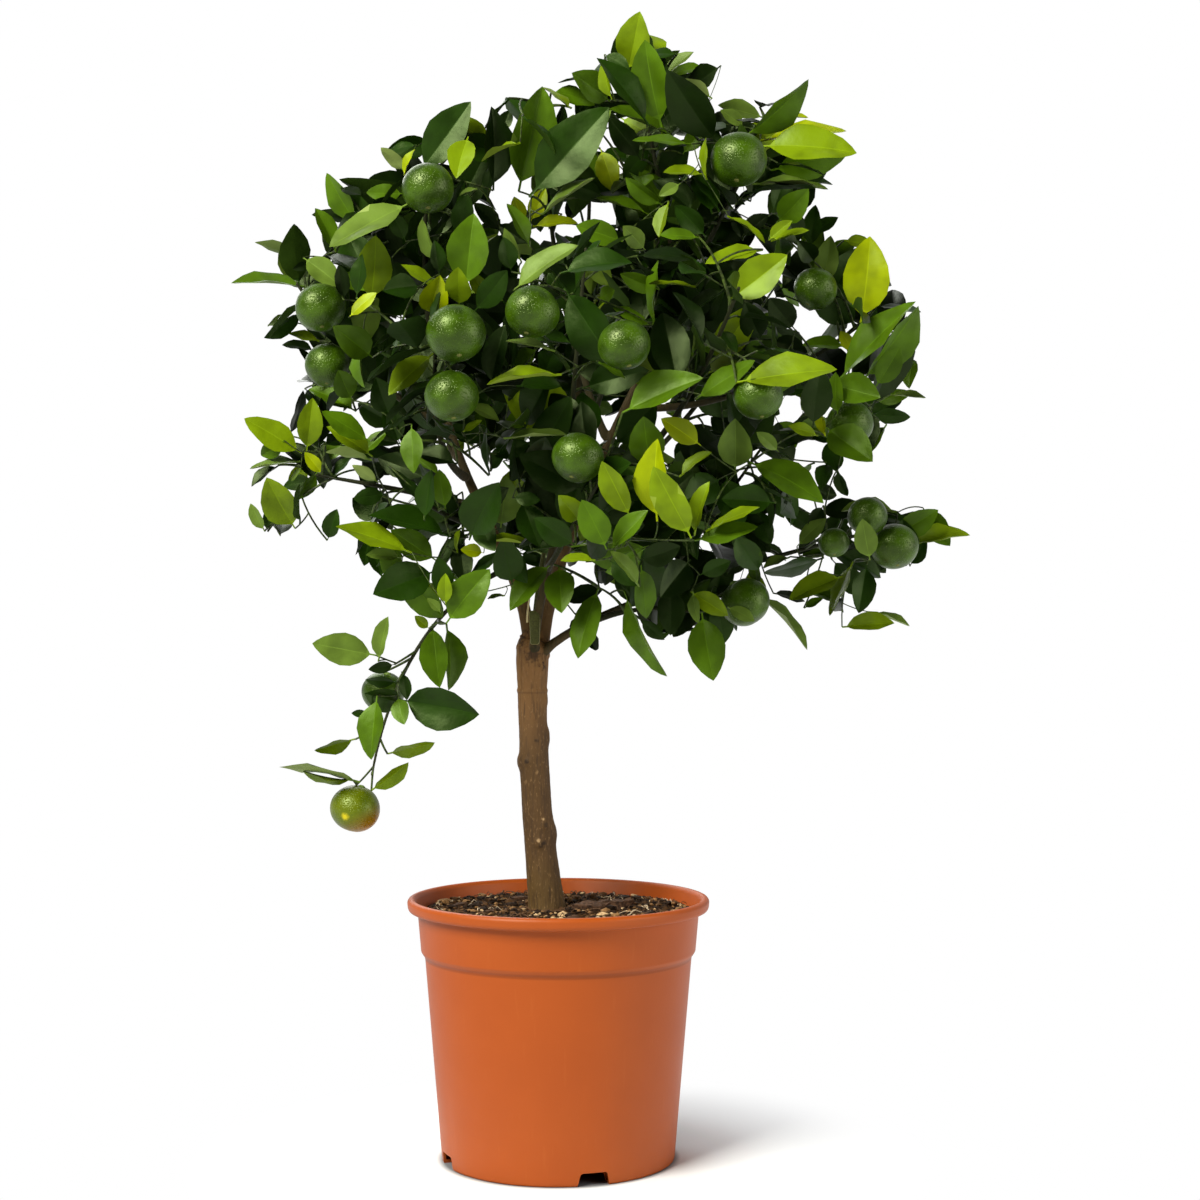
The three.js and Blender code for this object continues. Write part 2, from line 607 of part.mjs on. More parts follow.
/** The foliage of one mass as it grows: twigs, leaves and fruits. */
class Growth {
  constructor(bough, samples, fruits) {
    this.bough = bough;
    this.space = bough.space;
    this.stem = bough.curve.stretch(bough.enters, 1);
    this.samples = samples.filter(({ point, radius }) => (
      this.space.wallRoom(point) > -radius - LEAF.limbRoom));
    this.random = seeded(seedOf(bough.name));
    this.twigs = [];
    this.leaves = [];
    this.fruits = [];
    fruits.forEach((fruit) => this.hang(fruit));
    bough.row.tips.forEach((tip) => this.reachTip(new THREE.Vector3(...tip)));
    for (let i = 0; i < bough.row.shoots; i += 1) this.fill();
    this.dressTwig(this.stem, RULE.onStem);
  }

  /** Whether a twig along a curve keeps to the space and clear of limbs and fruits. */
  twigFits(curve, ownFruit) {
    for (let share = 0.1; share <= 1; share += 0.1) {
      const point = curve.getPoint(share);
      if (this.space.wallRoom(point) < TWIG.foot + TWIG.room) return false;
      const touches = ({ point: limb, radius }) => (
        point.distanceTo(limb) < radius + TWIG.foot + TWIG.room);
      if (this.samples.some(touches)) return false;
      const blocked = (fruit) => fruit !== ownFruit
        && point.distanceTo(fruit.centre) < fruit.radius + TWIG.foot;
      if (this.fruits.some(blocked)) return false;
    }
    return true;
  }

  /** Grows a twig from the stem to a point. It returns null where none fits. */
  twigTo(end, ownFruit = null) {
    const nearest = this.nearestShare(end);
    for (const back of RULE.backs) {
      const share = THREE.MathUtils.clamp(nearest - back, TWIG.stemFoot, TWIG.stemTop);
      const start = this.stem.getPoint(share);
      const way = end.clone().sub(start);
      const angle = way.angleTo(this.stem.getTangent(share));
      const apart = this.twigs.every((other) => Math.abs(other.share - share) >= TWIG.apart);
      if (apart && (angle > TWIG.fork || share === TWIG.stemTop)) {
        const curve = new THREE.LineCurve3(start, end);
        if (this.twigFits(curve, ownFruit)) {
          this.twigs.push({ curve, share });
          return curve;
        }
      }
    }
    return null;
  }

  /** Hangs a fruit by its stalk. */
  hang([x, y, z, radius]) {
    const centre = new THREE.Vector3(x, y, z);
    const fruit = { centre, radius };
    const clear = this.space.wallRoom(centre) >= radius + FRUIT.room
      && this.samples.every(({ point, radius: limb }) => (
        point.distanceTo(centre) > limb + radius + FRUIT.room));
    if (!clear) return;
    const depth = FRUIT.flattening * radius * (1 - FRUIT.stalkDepth);
    const crown = centre.clone().add(new THREE.Vector3(0, 0, depth));
    if (this.twigTo(crown, fruit)) this.fruits.push(fruit);
  }

  /** The share of the stem that is nearest to a point. */
  nearestShare(point) {
    const distance = (share) => this.stem.getPoint(share).distanceTo(point);
    let nearest = 1;
    for (let share = 0; share < 1; share += 5 * STRIDE) {
      if (distance(share) < distance(nearest)) nearest = share;
    }
    return nearest;
  }

  /** Grows a leaf that ends at a named tip, on the stem itself or on a shoot of its own. */
  reachTip(tip) {
    const length = THREE.MathUtils.lerp(LEAF.shortest, LEAF.longest, this.random());
    const facings = [this.random(), this.random(), this.random()];
    const nearest = this.nearestShare(tip);
    for (const back of RULE.slides) {
      const foot = this.stem.getPoint(THREE.MathUtils.clamp(nearest - back, TWIG.stemFoot, TWIG.stemTop));
      if (foot.distanceTo(tip) < LEAF.longest && this.leafBetween(foot, tip, facings)) return;
    }
    const along = tip.clone().sub(this.space.centre).normalize();
    for (const scale of RULE.shorter) {
      const root = tip.clone().addScaledVector(along, -length * scale);
      const twig = this.twigTo(root.clone().addScaledVector(along, 1));
      if (twig) {
        if (this.leafBetween(root, tip, facings)) {
          this.dressTwig(twig, this.bough.row.leaves - 2);
          return;
        }
        this.twigs.pop();
      }
    }
  }

  /** Adds a leaf from a root to a tip. */
  leafBetween(root, tip, facings) {
    const chord = tip.clone().sub(root);
    const length = chord.length() / Math.hypot(1, LEAF.droop);
    return RULE.rolls.some((roll) => {
      const facing = this.facingAt(root, chord.clone().normalize(), facings)
        .applyAxisAngle(chord.clone().normalize(), roll);
      const along = chord.clone().addScaledVector(facing, LEAF.droop * length).normalize();
      const up = facing.addScaledVector(along, -facing.dot(along)).normalize();
      return this.addLeaf(root, along, up, length, false);
    });
  }

  /** Grows a shoot into the emptiest place of the space that a twig can reach. */
  fill() {
    const spots = Array.from({ length: RULE.spots }, () => this.spot());
    const room = ({ x, y, z }) => Math.min(...this.leaves.map(({ middle }) => (
      Math.hypot(middle.x - x, middle.y - y, middle.z - z))));
    spots.sort((a, b) => room(b) - room(a));
    for (const spot of spots) {
      const twig = this.twigTo(spot);
      if (twig) {
        this.leafOn(twig, 1, 0, true);
        this.dressTwig(twig, this.bough.row.leaves - 1);
        return;
      }
    }
  }

  /** A place in the space, picked by chance. */
  spot() {
    const height = 2 * this.random() - 1;
    const angle = 2 * Math.PI * this.random();
    const ring = Math.sqrt(1 - height * height);
    const way = new THREE.Vector3(ring * Math.cos(angle), ring * Math.sin(angle), height);
    const share = RULE.farthest * Math.cbrt(this.random());
    return this.space.centre.clone().addScaledVector(way, this.space.reach(way) * share);
  }

  /** The way a leaf's upper side faces, square to its length: up, outward and a little at random. */
  facingAt(place, along, [x, y, z]) {
    const { up, out, random } = RULE.facing;
    const facing = new THREE.Vector3(x, y, z).subScalar(0.5).multiplyScalar(2 * random)
      .addScaledVector(this.outward(place), out)
      .add(new THREE.Vector3(0, 0, up));
    return facing.addScaledVector(along, -facing.dot(along)).normalize();
  }

  /** The way out of the crown at a place. */
  outward(place) {
    return place.clone().sub(new THREE.Vector3(...RULE.crownHeart)).normalize();
  }

  /** Sets leaves along a twig, each turned on from the last. */
  dressTwig(twig, count) {
    const turn = this.random() * 2 * Math.PI;
    for (let i = 0; i < count; i += 1) {
      const share = RULE.firstLeaf + ((1 - RULE.firstLeaf) * (i + 0.5)) / count;
      this.leafOn(twig, share, turn + i * RULE.turn, false);
    }
  }

  /** Sets one leaf on a twig, tried at several sizes and turns. The last one `ends` the twig. */
  leafOn(twig, share, turn, ends) {
    const root = twig.getPoint(share * TWIG.stemTop);
    const tangent = twig.getTangent(share);
    const across = new THREE.Vector3(...RULE.askew).cross(tangent).normalize();
    const size = THREE.MathUtils.lerp(LEAF.shortest, LEAF.longest, this.random());
    const jitter = (this.random() - 0.5) * RULE.unsteady;
    const facings = [this.random(), this.random(), this.random()];
    const lean = ends ? RULE.endLean : THREE.MathUtils.lerp(...RULE.lean, share) + jitter;
    for (const [scale, extraTurn] of RULE.tries) {
      const along = across.clone().applyAxisAngle(tangent, turn + extraTurn)
        .multiplyScalar(Math.sin(lean))
        .addScaledVector(tangent, Math.cos(lean))
        .addScaledVector(this.outward(root), RULE.outward)
        .normalize();
      const facing = this.facingAt(root, along, facings);
      if (this.addLeaf(root, along, facing, size * scale, true)) return;
    }
  }

  /** Whether the stem or a twig goes through a leaf anywhere but at its root. */
  crossesTwig({ root, triangles }) {
    const steps = 10;
    return [this.stem, ...this.twigs.map(({ curve }) => curve)].some((curve) => {
      for (let i = 0; i < steps; i += 1) {
        const from = curve.getPoint(i / steps);
        const to = curve.getPoint((i + 1) / steps);
        const ray = new THREE.Ray(from, to.clone().sub(from).normalize());
        for (const { a, b, c } of triangles) {
          const hit = ray.intersectTriangle(a, b, c, false, new THREE.Vector3());
          if (hit && hit.distanceTo(from) <= to.distanceTo(from) && hit.distanceTo(root) > LEAF.rootRoom) {
            return true;
          }
        }
      }
      return false;
    });
  }

  /** Adds a leaf if it keeps to the space and clear of limbs, fruits and other leaves. */
  addLeaf(root, along, up, length, inside) {
    const leaf = { root, along, up, length };
    leaf.corners = leafCorners(leaf);
    leaf.triangles = leafTriangles(leaf.corners);
    const { left, right, tip } = leaf.corners;
    const outline = [...left, ...right, tip];
    leaf.middle = root.clone().lerp(tip, 0.5);
    if (outline.some((point) => this.space.wallRoom(point) < LEAF.wallRoom)) return false;
    if (inside && !outline.every((point) => Space.inCrown(point))) return false;
    const nearer = (point, distance) => leaf.triangles.some((triangle) => (
      triangle.closestPointToPoint(point, new THREE.Vector3()).distanceTo(point) < distance));
    if (this.samples.some(({ point, radius }) => nearer(point, radius + LEAF.limbRoom))) return false;
    if (this.fruits.some(({ centre, radius }) => nearer(centre, radius + FRUIT.room))) return false;
    const crosses = (other) => other.middle.distanceTo(leaf.middle) < other.length + length
      && other.triangles.some((theirs) => leaf.triangles.some((ours) => (
        pierces(ours, theirs) || pierces(theirs, ours))));
    if (this.leaves.some(crosses)) return false;
    if (this.crossesTwig(leaf)) return false;
    this.leaves.push(leaf);
    return true;
  }
}

/** The seed of a mass, from its name. */
function seedOf(name) {
  return Array.from(name).reduce((seed, letter) => (seed * 31 + letter.charCodeAt(0)) % 65521, 7);
}

/** Fuses a mass's stem, twigs, leaves and fruits into one solid. */
function massSolid(growth) {
  const { bough, twigs, leaves, fruits } = growth;
  const gap = GAP / bough.curve.getLength();
  const parts = [boughSolid(bough, bough.enters + gap, 1, TWIG.stemSides)];
  const twigRadius = (share) => THREE.MathUtils.lerp(TWIG.foot, TWIG.tip, share);
  for (const { curve } of twigs) {
    parts.push(solidOf(limbGeometry(curve, twigRadius, TWIG.sides, 1)));
  }
  for (const leaf of leaves) parts.push(solidOf(leafGeometry(leaf)));
  for (const { centre, radius } of fruits) {
    const ball = new THREE.SphereGeometry(radius, FRUIT.facets, FRUIT.rings).rotateX(Math.PI / 2);
    ball.scale(1, 1, FRUIT.flattening).translate(centre.x, centre.y, centre.z);
    parts.push(solidOf(ball));
  }
  return mainBody(wasm.Manifold.union(parts), FINEST.foliage);
}

// ---------------------------------------------------------------- the tree

const finish = (color, roughness) => new THREE.MeshStandardMaterial({ color, roughness, metalness: 0 });
const tree = new THREE.Group();
tree.name = 'calamondin_tree';

tree.add(meshOf('pot', makePot(), finish('#c8612f', 0.5)));
tree.add(meshOf('soil', makeSoil(), finish('#3a2a1e', 0.95)));
tree.add(meshOf('trunk', makeTrunk(), finish('#7d5f41', 0.85)));

const boughs = layOutBoughs();
const samples = limbSamples(boughs);
let taken = makeTrunk(GAP);
for (const bough of Object.values(boughs)) {
  const whole = boughSolid(bough, 0, bough.enters, BOUGH.sides);
  tree.add(meshOf(`bough_${bough.name}`, mainBody(whole.subtract(taken)), finish('#6a5638', 0.85)));
  taken = taken.add(boughSolid(bough, 0, bough.enters, BOUGH.sides, GAP));
}
for (const bough of Object.values(boughs)) {
  const held = FRUITS.filter(([x, y, z]) => Space.holding(new THREE.Vector3(x, y, z)) === bough.name);
  const growth = new Growth(bough, samples, held);
  tree.add(meshOf(`foliage_${bough.name}`, massSolid(growth), finish('#2f5c1c', 0.5)));
}

export default tree;
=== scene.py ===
"""Dresses a potted calamondin orange tree: its bark, twigs, leaves, fruits, pot and soil.

Everything is in metres, +Z up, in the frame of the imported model. The tables that describe the
plant are in millimetres, or in pixels of its front view, and are scaled once, where they are read.
"""

from __future__ import annotations

import itertools
import json
import logging
import math
import random
from dataclasses import dataclass, field
from enum import Enum
from typing import Any, Iterable, Sequence

import bpy
import numpy as np
from mathutils import Matrix, Vector, noise

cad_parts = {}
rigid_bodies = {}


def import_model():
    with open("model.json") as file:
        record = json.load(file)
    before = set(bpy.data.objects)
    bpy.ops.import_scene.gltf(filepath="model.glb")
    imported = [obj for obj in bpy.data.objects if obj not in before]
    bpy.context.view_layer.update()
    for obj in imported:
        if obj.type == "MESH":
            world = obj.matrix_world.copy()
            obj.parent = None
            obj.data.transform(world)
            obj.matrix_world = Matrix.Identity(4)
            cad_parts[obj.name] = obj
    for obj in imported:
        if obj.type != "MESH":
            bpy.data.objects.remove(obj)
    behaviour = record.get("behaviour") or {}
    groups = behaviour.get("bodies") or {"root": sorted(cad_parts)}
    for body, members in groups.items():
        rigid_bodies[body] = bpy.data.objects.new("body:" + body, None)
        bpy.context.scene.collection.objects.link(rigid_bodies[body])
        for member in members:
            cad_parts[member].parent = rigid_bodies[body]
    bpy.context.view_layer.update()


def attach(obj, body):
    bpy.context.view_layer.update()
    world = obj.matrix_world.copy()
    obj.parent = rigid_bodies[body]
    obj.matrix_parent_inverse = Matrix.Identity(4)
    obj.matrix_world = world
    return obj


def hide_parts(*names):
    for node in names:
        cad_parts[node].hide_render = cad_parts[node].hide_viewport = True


log = logging.getLogger("calamondin")

MM = 0.001
BODY = "root"
UP = np.array([0.0, 0.0, 1.0])
FORWARD = np.array([0.0, -1.0, 0.0])
# The point that the plant's front is laid out for, and that the camera looks from.
EYE = np.array([0.0289, -1.5, 0.3875])

Colour = tuple[float, float, float]
Triple = tuple[float, float, float]


# ---------------------------------------------------------------- the plant's own tables


@dataclass(frozen=True)
class Mass:
    """A bough and the mass of foliage at its end, in millimetres.

    The bough leaves `parent` (the trunk at the point `at`, or another bough at that share of its
    bare length), runs by its handles to `end`, and is `girth` in radius at both ends. The mass
    fills the ellipsoid of `centre` and `radii`, and a leaf ends at each of its `tips`.
    """

    name: str
    parent: str
    at: Triple | float
    by: tuple[Triple, ...]
    end: Triple
    girth: tuple[float, float]
    centre: Triple
    radii: Triple
    tips: tuple[Triple, ...] = ()
    shoots: int = 34


MASSES = (
    Mass("upper_left", "trunk", (-20, 4, 344), ((-18, 5, 440), (-110, 22, 465)), (-90, -12, 690),
         (5.2, 1.4), (-88, -18, 660), (78, 74, 76),
         ((-163, 0, 684), (-123, 10, 708), (-72, -4, 734), (-150, -60, 640))),
    Mass("upper_right", "trunk", (-12, 4, 344), ((-10, 4, 425), (55, 25, 540)), (134, -10, 694),
         (5.2, 1.4), (138, -20, 670), (68, 72, 76),
         ((177, 0, 746), (204, -25, 699), (189, 20, 664))),
    Mass("centre", "trunk", (-17, -6, 350), ((-12, -40, 430),), (72, -14, 640),
         (3.4, 1.3), (76, -12, 616), (70, 66, 76)),
    Mass("back_mid", "trunk", (-16, 9, 346), ((-5, 75, 430),), (28, 130, 620),
         (5, 1.4), (30, 140, 600), (76, 70, 80), ((30, 214, 610), (60, 190, 665))),
    Mass("low_right", "trunk", (-12, -3, 350), ((25, -8, 388),), (222, 6, 436),
         (3.4, 1.3), (209, -10, 423), (78, 64, 54),
         ((285, 0, 433), (239, -20, 370), (262, -10, 456), (174, -30, 358))),
    Mass("hanging", "upper_left", 0.32, ((-106, -38, 378),), (-126, -40, 268),
         (1.9, 0.95), (-117, -40, 320), (70, 52, 95),
         ((-164, -40, 357), (-51, -60, 314), (-166, -30, 284), (-85, -30, 290), (-185, -45, 279),
          (-88, -50, 276), (-116, -30, 377), (-126, -62, 283), (-62, -14, 345)), 0),
    Mass("low_left", "upper_left", 0.53, ((-105, -2, 464),), (-168, -12, 474),
         (2.7, 1.2), (-151, -10, 456), (82, 62, 58),
         ((-205, -10, 437), (-207, -15, 470), (-219, 0, 508), (-128, -40, 404))),
    Mass("left", "upper_left", 0.76, ((-130, 12, 530),), (-182, -4, 608),
         (2.9, 1.3), (-162, 0, 588), (58, 68, 80),
         ((-228, 0, 611), (-205, 0, 570), (-212, 10, 638), (-184, -20, 646))),
    Mass("front_left", "upper_left", 0.62, ((-86, -60, 480),), (-76, -122, 552),
         (3, 1.3), (-72, -100, 526), (78, 74, 86), ((-95, -192, 560),)),
    Mass("front_low_left", "upper_left", 0.46, ((-70, -32, 438),), (-92, -70, 456),
         (2.6, 1.2), (-84, -62, 446), (64, 56, 60), ((-131, -72, 396), (-70, -112, 420))),
    Mass("back_left", "upper_left", 0.68, ((-86, 70, 490),), (-90, 122, 588),
         (3, 1.3), (-85, 110, 560), (78, 72, 80), ((-150, 150, 600), (-95, 190, 565))),
    Mass("top", "upper_right", 0.88, ((80, 18, 640),), (56, 0, 748),
         (3, 1.2), (57, 0, 732), (56, 56, 64),
         ((57, 0, 796), (93, 10, 771), (10, 0, 755), (77, -35, 748))),
    Mass("upper_mid", "upper_right", 0.58, ((-5, 22, 590),), (-10, -10, 708),
         (2.8, 1.2), (-5, -14, 680), (68, 68, 72), ((-13, 0, 746), (34, -60, 719), (-36, 10, 743))),
    Mass("right", "upper_right", 0.66, ((130, 14, 515),), (216, -4, 584),
         (3, 1.3), (198, -4, 562), (60, 72, 88),
         ((246, -10, 597), (219, 0, 640), (259, 20, 531), (240, 10, 514))),
    Mass("front_right", "upper_right", 0.45, ((78, -50, 480),), (118, -122, 588),
         (3, 1.3), (113, -106, 556), (70, 68, 78), ((130, -184, 575),)),
    Mass("front_mid", "centre", 0.62, ((6, -88, 470),), (20, -128, 612),
         (2.6, 1.2), (16, -112, 584), (72, 72, 88), ((30, -202, 600),)),
    Mass("front_low", "centre", 0.38, ((-4, -60, 412),), (28, -122, 462),
         (2.5, 1.2), (22, -108, 455), (80, 60, 56), ((-40, -140, 440), (40, -170, 432))),
    Mass("front_low_right", "low_right", 0.62, ((84, -40, 412),), (134, -84, 486),
         (2.2, 1.1), (122, -76, 468), (70, 66, 58), ((150, -140, 450),)),
    Mass("bottom", "low_right", 0.36, ((62, -30, 388),), (96, -46, 378),
         (2.2, 1.1), (74, -40, 394), (86, 62, 56),
         ((105, -50, 334), (71, -45, 335), (10, -30, 351), (129, -10, 372))),
    Mass("back_right", "back_mid", 0.55, ((70, 84, 480),), (142, 114, 590),
         (3, 1.3), (135, 105, 560), (74, 72, 82), ((200, 150, 590), (150, 182, 560))),
    Mass("back_low", "back_mid", 0.4, ((6, 90, 425),), (44, 134, 470),
         (2.6, 1.2), (30, 118, 452), (92, 68, 62), ((-30, 160, 410), (90, 165, 415))),
    Mass("back_top", "back_mid", 0.9, ((20, 100, 610),), (22, 66, 712),
         (2.8, 1.2), (20, 76, 690), (70, 62, 62), ((-20, 110, 735), (80, 100, 725))),
)

# Centre and radius of each fruit. The first of all hangs lowest and has begun to ripen.
FRUITS = (
    (-137, -40, 246, 17), (-85, -75, 660, 17.5), (-158, -60, 583, 17), (-155, -45, 546, 15.5),
    (-60, -172, 552, 18.5), (-63, -165, 514, 16.8), (-13, -166, 566, 17), (44, -162, 546, 16.5),
    (121, -70, 680, 19), (176, -30, 600, 15), (15, -146, 477, 16.5), (129, -136, 517, 16),
    (198, -44, 507, 16), (209, -50, 444, 13.5), (186, -54, 426, 10.5), (229, -36, 424, 16.5),
    (-121, -10, 324, 15), (127, -44, 386, 17), (40, 182, 570, 17), (-92, 160, 606, 17),
    (156, 150, 600, 17), (66, 150, 482, 16), (230, 40, 560, 16.5), (-168, 66, 560, 16),
    (-40, 150, 520, 17), (90, 46, 735, 15),
)


@dataclass(frozen=True)
class TrunkShape:
    """The trunk's line, its radii and its knots, in millimetres and degrees."""

    foot: Triple = (-7.5, 2, 170)
    bend: Triple = (-20, -2, 267)
    fork: Triple = (-18, 2, 360)
    girth: tuple[tuple[float, float], ...] = (
        (0, 13.8), (0.04, 12.5), (0.2, 11.1), (0.4, 10.4), (0.68, 9.8),
        (0.82, 10.2), (0.92, 11.4), (0.97, 11), (1, 7.5))
    # height above the pot's foot, angle round the trunk from +X, swelling, spread
    knots: tuple[tuple[float, float, float, float], ...] = (
        (275, 195, 2.6, 5), (293, 5, 2.4, 6), (219.5, 268, 1.5, 3), (232, 292, 1.2, 2.5),
        (362, 190, 2.8, 6), (226, 350, 1.8, 6), (275, 245, 1.3, 2.5), (300, 290, 0.7, 4),
        (318, 350, 1.0, 4), (300, 90, 2.0, 6), (250, 100, 1.8, 5), (345, 60, 0.8, 6),
        (340, 300, 1.2, 4))
    ring_scar: tuple[float, float, float] = (324.5, 0.6, 1.4)  # height, swelling, spread
    sides: int = 40
    steps: int = 34


TRUNK = TrunkShape()


@dataclass(frozen=True)
class LeafShape:
    """A leaf's size in metres, and its other measures as shares of its length."""

    shortest: float = 0.046
    longest: float = 0.074
    breadth: tuple[float, float] = (0.48, 0.6)
    petiole: float = 0.13
    stalk_width: float = 0.013
    fold: tuple[float, float] = (0.3, 0.8)
    droop: tuple[float, float] = (0.02, 0.2)
    calm: float = 0.7
    sway: float = 0.06
    wave: float = 0.03
    thickness: float = 0.0005
    stalk_thickness: float = 0.0011
    stations: tuple[float, ...] = (
        -0.13, -0.02, 0.04, 0.14, 0.29, 0.47, 0.66, 0.83, 0.94, 1.0)
    across: tuple[float, ...] = (-1.0, -0.52, -0.03, 0.03, 0.52, 1.0)


LEAF = LeafShape()


@dataclass(frozen=True)
class GrowthRule:
    """How twigs leave a stem and how leaves stand on them: angles in radians, sizes in metres."""

    heart: tuple[float, float, float] = (0.03, 0.0, 0.52)
    turn: float = math.radians(137.5)
    lean: tuple[float, float] = (1.15, 0.8)
    end_lean: float = 0.2
    unsteady: float = 0.4
    askew: Triple = (0.31, 0.23, 0.92)
    backs: tuple[float, ...] = (0.15, 0.05, 0.3, 0.45, -0.1, -1.0)
    slides: tuple[float, ...] = (0.0, 0.08, 0.16, 0.24, 0.32, 0.42, 0.52)
    rolls: tuple[float, ...] = (0.0, 0.5, -0.5, 0.9, -0.9)
    shorter: tuple[float, ...] = (1.0, 0.85, 0.7, 0.55)
    covers: tuple[float, ...] = (1.0, 0.9, 0.8, 0.7, 0.62, 0.54, 0.48, 0.42)
    most_spots: int = 4
    parents: int = 5
    outward: float = 0.25
    face_up: float = 0.5
    face_out: float = 0.7
    face_chance: float = 0.5
    first_leaf: float = 0.25
    spacing: float = 0.0115
    stem_foot: float = 0.1
    stem_top: float = 0.98
    fork: float = 0.45
    spots: int = 70
    farthest: float = 0.9
    crowded: float = 0.017
    shortest_twig: float = 0.006
    longest_twig: float = 0.085
    bow: float = 0.13
    bare: float = 0.24
    twig_foot: float = 0.0013
    twig_tip: float = 0.0007
    clear: float = 0.0009
    stray: float = 0.012
    inner: float = 0.93
    # share of a mass's size inside which sprays take the dark tints, as painted shade
    deep: float = 0.72
    closed: float = 0.92
    layers: tuple[tuple[float, float], ...] = (
        (0.0, 0.06), (-0.03, 0.03), (0.04, 0.12), (-0.06, 0.06), (0.02, 0.16), (-0.08, 0.02),
        (0.0, 0.1), (0.06, 0.18), (-0.04, 0.08))
    veil: float = 0.003
    before: float = 0.002
    near: float = 0.003
    limb_reach: float = 0.07
    leaf_reach: float = 0.066
    twig_reach: float = 0.06
    shoot_reach: float = 0.09
    joint: float = 0.004
    wall: float = 0.0017
    same_tip: float = 0.018
    depths: tuple[float, ...] = (0, 0.006, -0.006, 0.012, -0.012, 0.02, 0.03)
    tries: tuple[tuple[float, float], ...] = (
        (1, 0), (1, 1), (1, -1), (0.85, 0.4), (0.8, -1.5), (0.75, 2), (0.65, -0.5), (0.6, 0.9))


RULE = GrowthRule()


class Lean(Enum):
    """How a leaf of the crown's face leans, and which of its sides shows."""

    LIT = "u"
    SHADED = "d"
    LIT_UNDERSIDE = "U"

    def turn(self, chord: np.ndarray, angle: float) -> float:
        """Gives an angle in radians its sign, and turns the leaf over where its underside shows.

        Args:
            chord: Unit vector from root to tip.
            angle: How far the leaf is turned from facing the view.

        Returns:
            The signed angle.
        """
        front = square_to(FORWARD, chord)
        one, other = (turned(front, chord, way * angle) @ VIEW.light for way in (1, -1))
        signed = angle if (one >= other if self is not Lean.SHADED else one <= other) else -angle
        return math.copysign(math.pi, signed) - signed if self is Lean.LIT_UNDERSIDE else signed


class Tint(Enum):
    """The greens that are dealt out to the sprays, in the order of the leaves' materials."""

    # DEEP is a near-black green: painted shade for leaves deep in the crown and for shaded leaves of its
    # face
    DEEP = 0
    DARK = 1
    MID = 2
    FRESH = 3
    # LIME is the yellow-green of young leaves, and also painted light where leaves glow lit from behind
    LIME = 4
    # SAGE is a pale grey-green: the underside's own colour where a leaf shows it, and a painted sheen on
    # upper sides that shine
    SAGE = 5


# How often a spray takes each tint.
TINT_SHARES = {Tint.DEEP: 0.3, Tint.DARK: 0.36, Tint.MID: 0.24, Tint.FRESH: 0.07, Tint.SAGE: 0.03}


@dataclass(frozen=True)
class FrontView:
    """The view that the crown's face is laid out for, in its pixels and in millimetres."""

    middle: int = 600
    pixel: float = 0.6968  # size of a pixel in the plane y = 0
    light: Triple = (-0.6, 0, 1)  # the way to the light
    turn: tuple[float, float] = (0.15, 1.25)  # least and greatest turn of a leaf, in radians
    breadth: tuple[float, float] = (0.5, 0.62)  # of a leaf, as a share of its length
    widest: float = 0.6  # share of a leaf's length that its width shows at most
    slant: float = 1.02  # least length of a leaf, as a share of the length that shows
    forward: float = 22  # how far its tip comes forward at most

    def scale(self, depth: float) -> float:
        """The size of a pixel at a depth, in millimetres."""
        return self.pixel * (1 - depth * MM / EYE[1])

    def place(self, column: float, row: float, depth: float = 0) -> np.ndarray:
        """The place that a pixel shows at a depth, in millimetres."""
        offset = np.array([column - self.middle, 0, self.middle - row])
        return offset * self.scale(depth) + (EYE[0] / MM, depth, EYE[2] / MM)

    def gap(self, column: float, row: float, radius: float) -> Triple:
        """A gap's place on the plane y = 0 and its radius, in millimetres."""
        x, _, z = self.place(column, row)
        return x, z, radius * self.pixel

    def leaf(self, reading: Sequence[Any]) -> tuple[np.ndarray, np.ndarray, float, float]:
        """Turns a row of the table of face leaves into a leaf.

        A leaf shows shortened and narrowed. Its tip comes forward until the leaf is as long as its
        width asks for, and it is turned round its length until a natural breadth shows as that width.

        Args:
            reading: The row.

        Returns:
            Root, tip and breadth in metres, to the millimetre, and the angle in whole degrees.
        """
        if len(reading) == 8:
            return metres(reading[:3]), metres(reading[3:6]), reading[6] * MM, reading[7]
        column, row, tip_column, tip_row, width, depth, lean = reading
        root, tip = self.place(column, row, depth), self.place(tip_column, tip_row, depth)
        shown, flat = width * self.scale(depth), np.linalg.norm(tip - root)
        length = max(flat * self.slant, shown / self.widest)
        forward = min(self.forward, math.sqrt(max(0, length ** 2 - flat ** 2)))
        tip = self.place(tip_column, tip_row, depth - forward)
        length = np.linalg.norm(tip - root)
        breadth = min(max(shown, self.breadth[0] * length), self.breadth[1] * length)
        if isinstance(lean, str):
            turn = min(max(math.acos(min(1, shown / breadth)), self.turn[0]), self.turn[1])
            lean = round(math.degrees(Lean(lean).turn(unit(tip - root), turn)))
        return metres(np.round(root)), metres(np.round(tip)), round(breadth) * MM, lean


VIEW = FrontView()

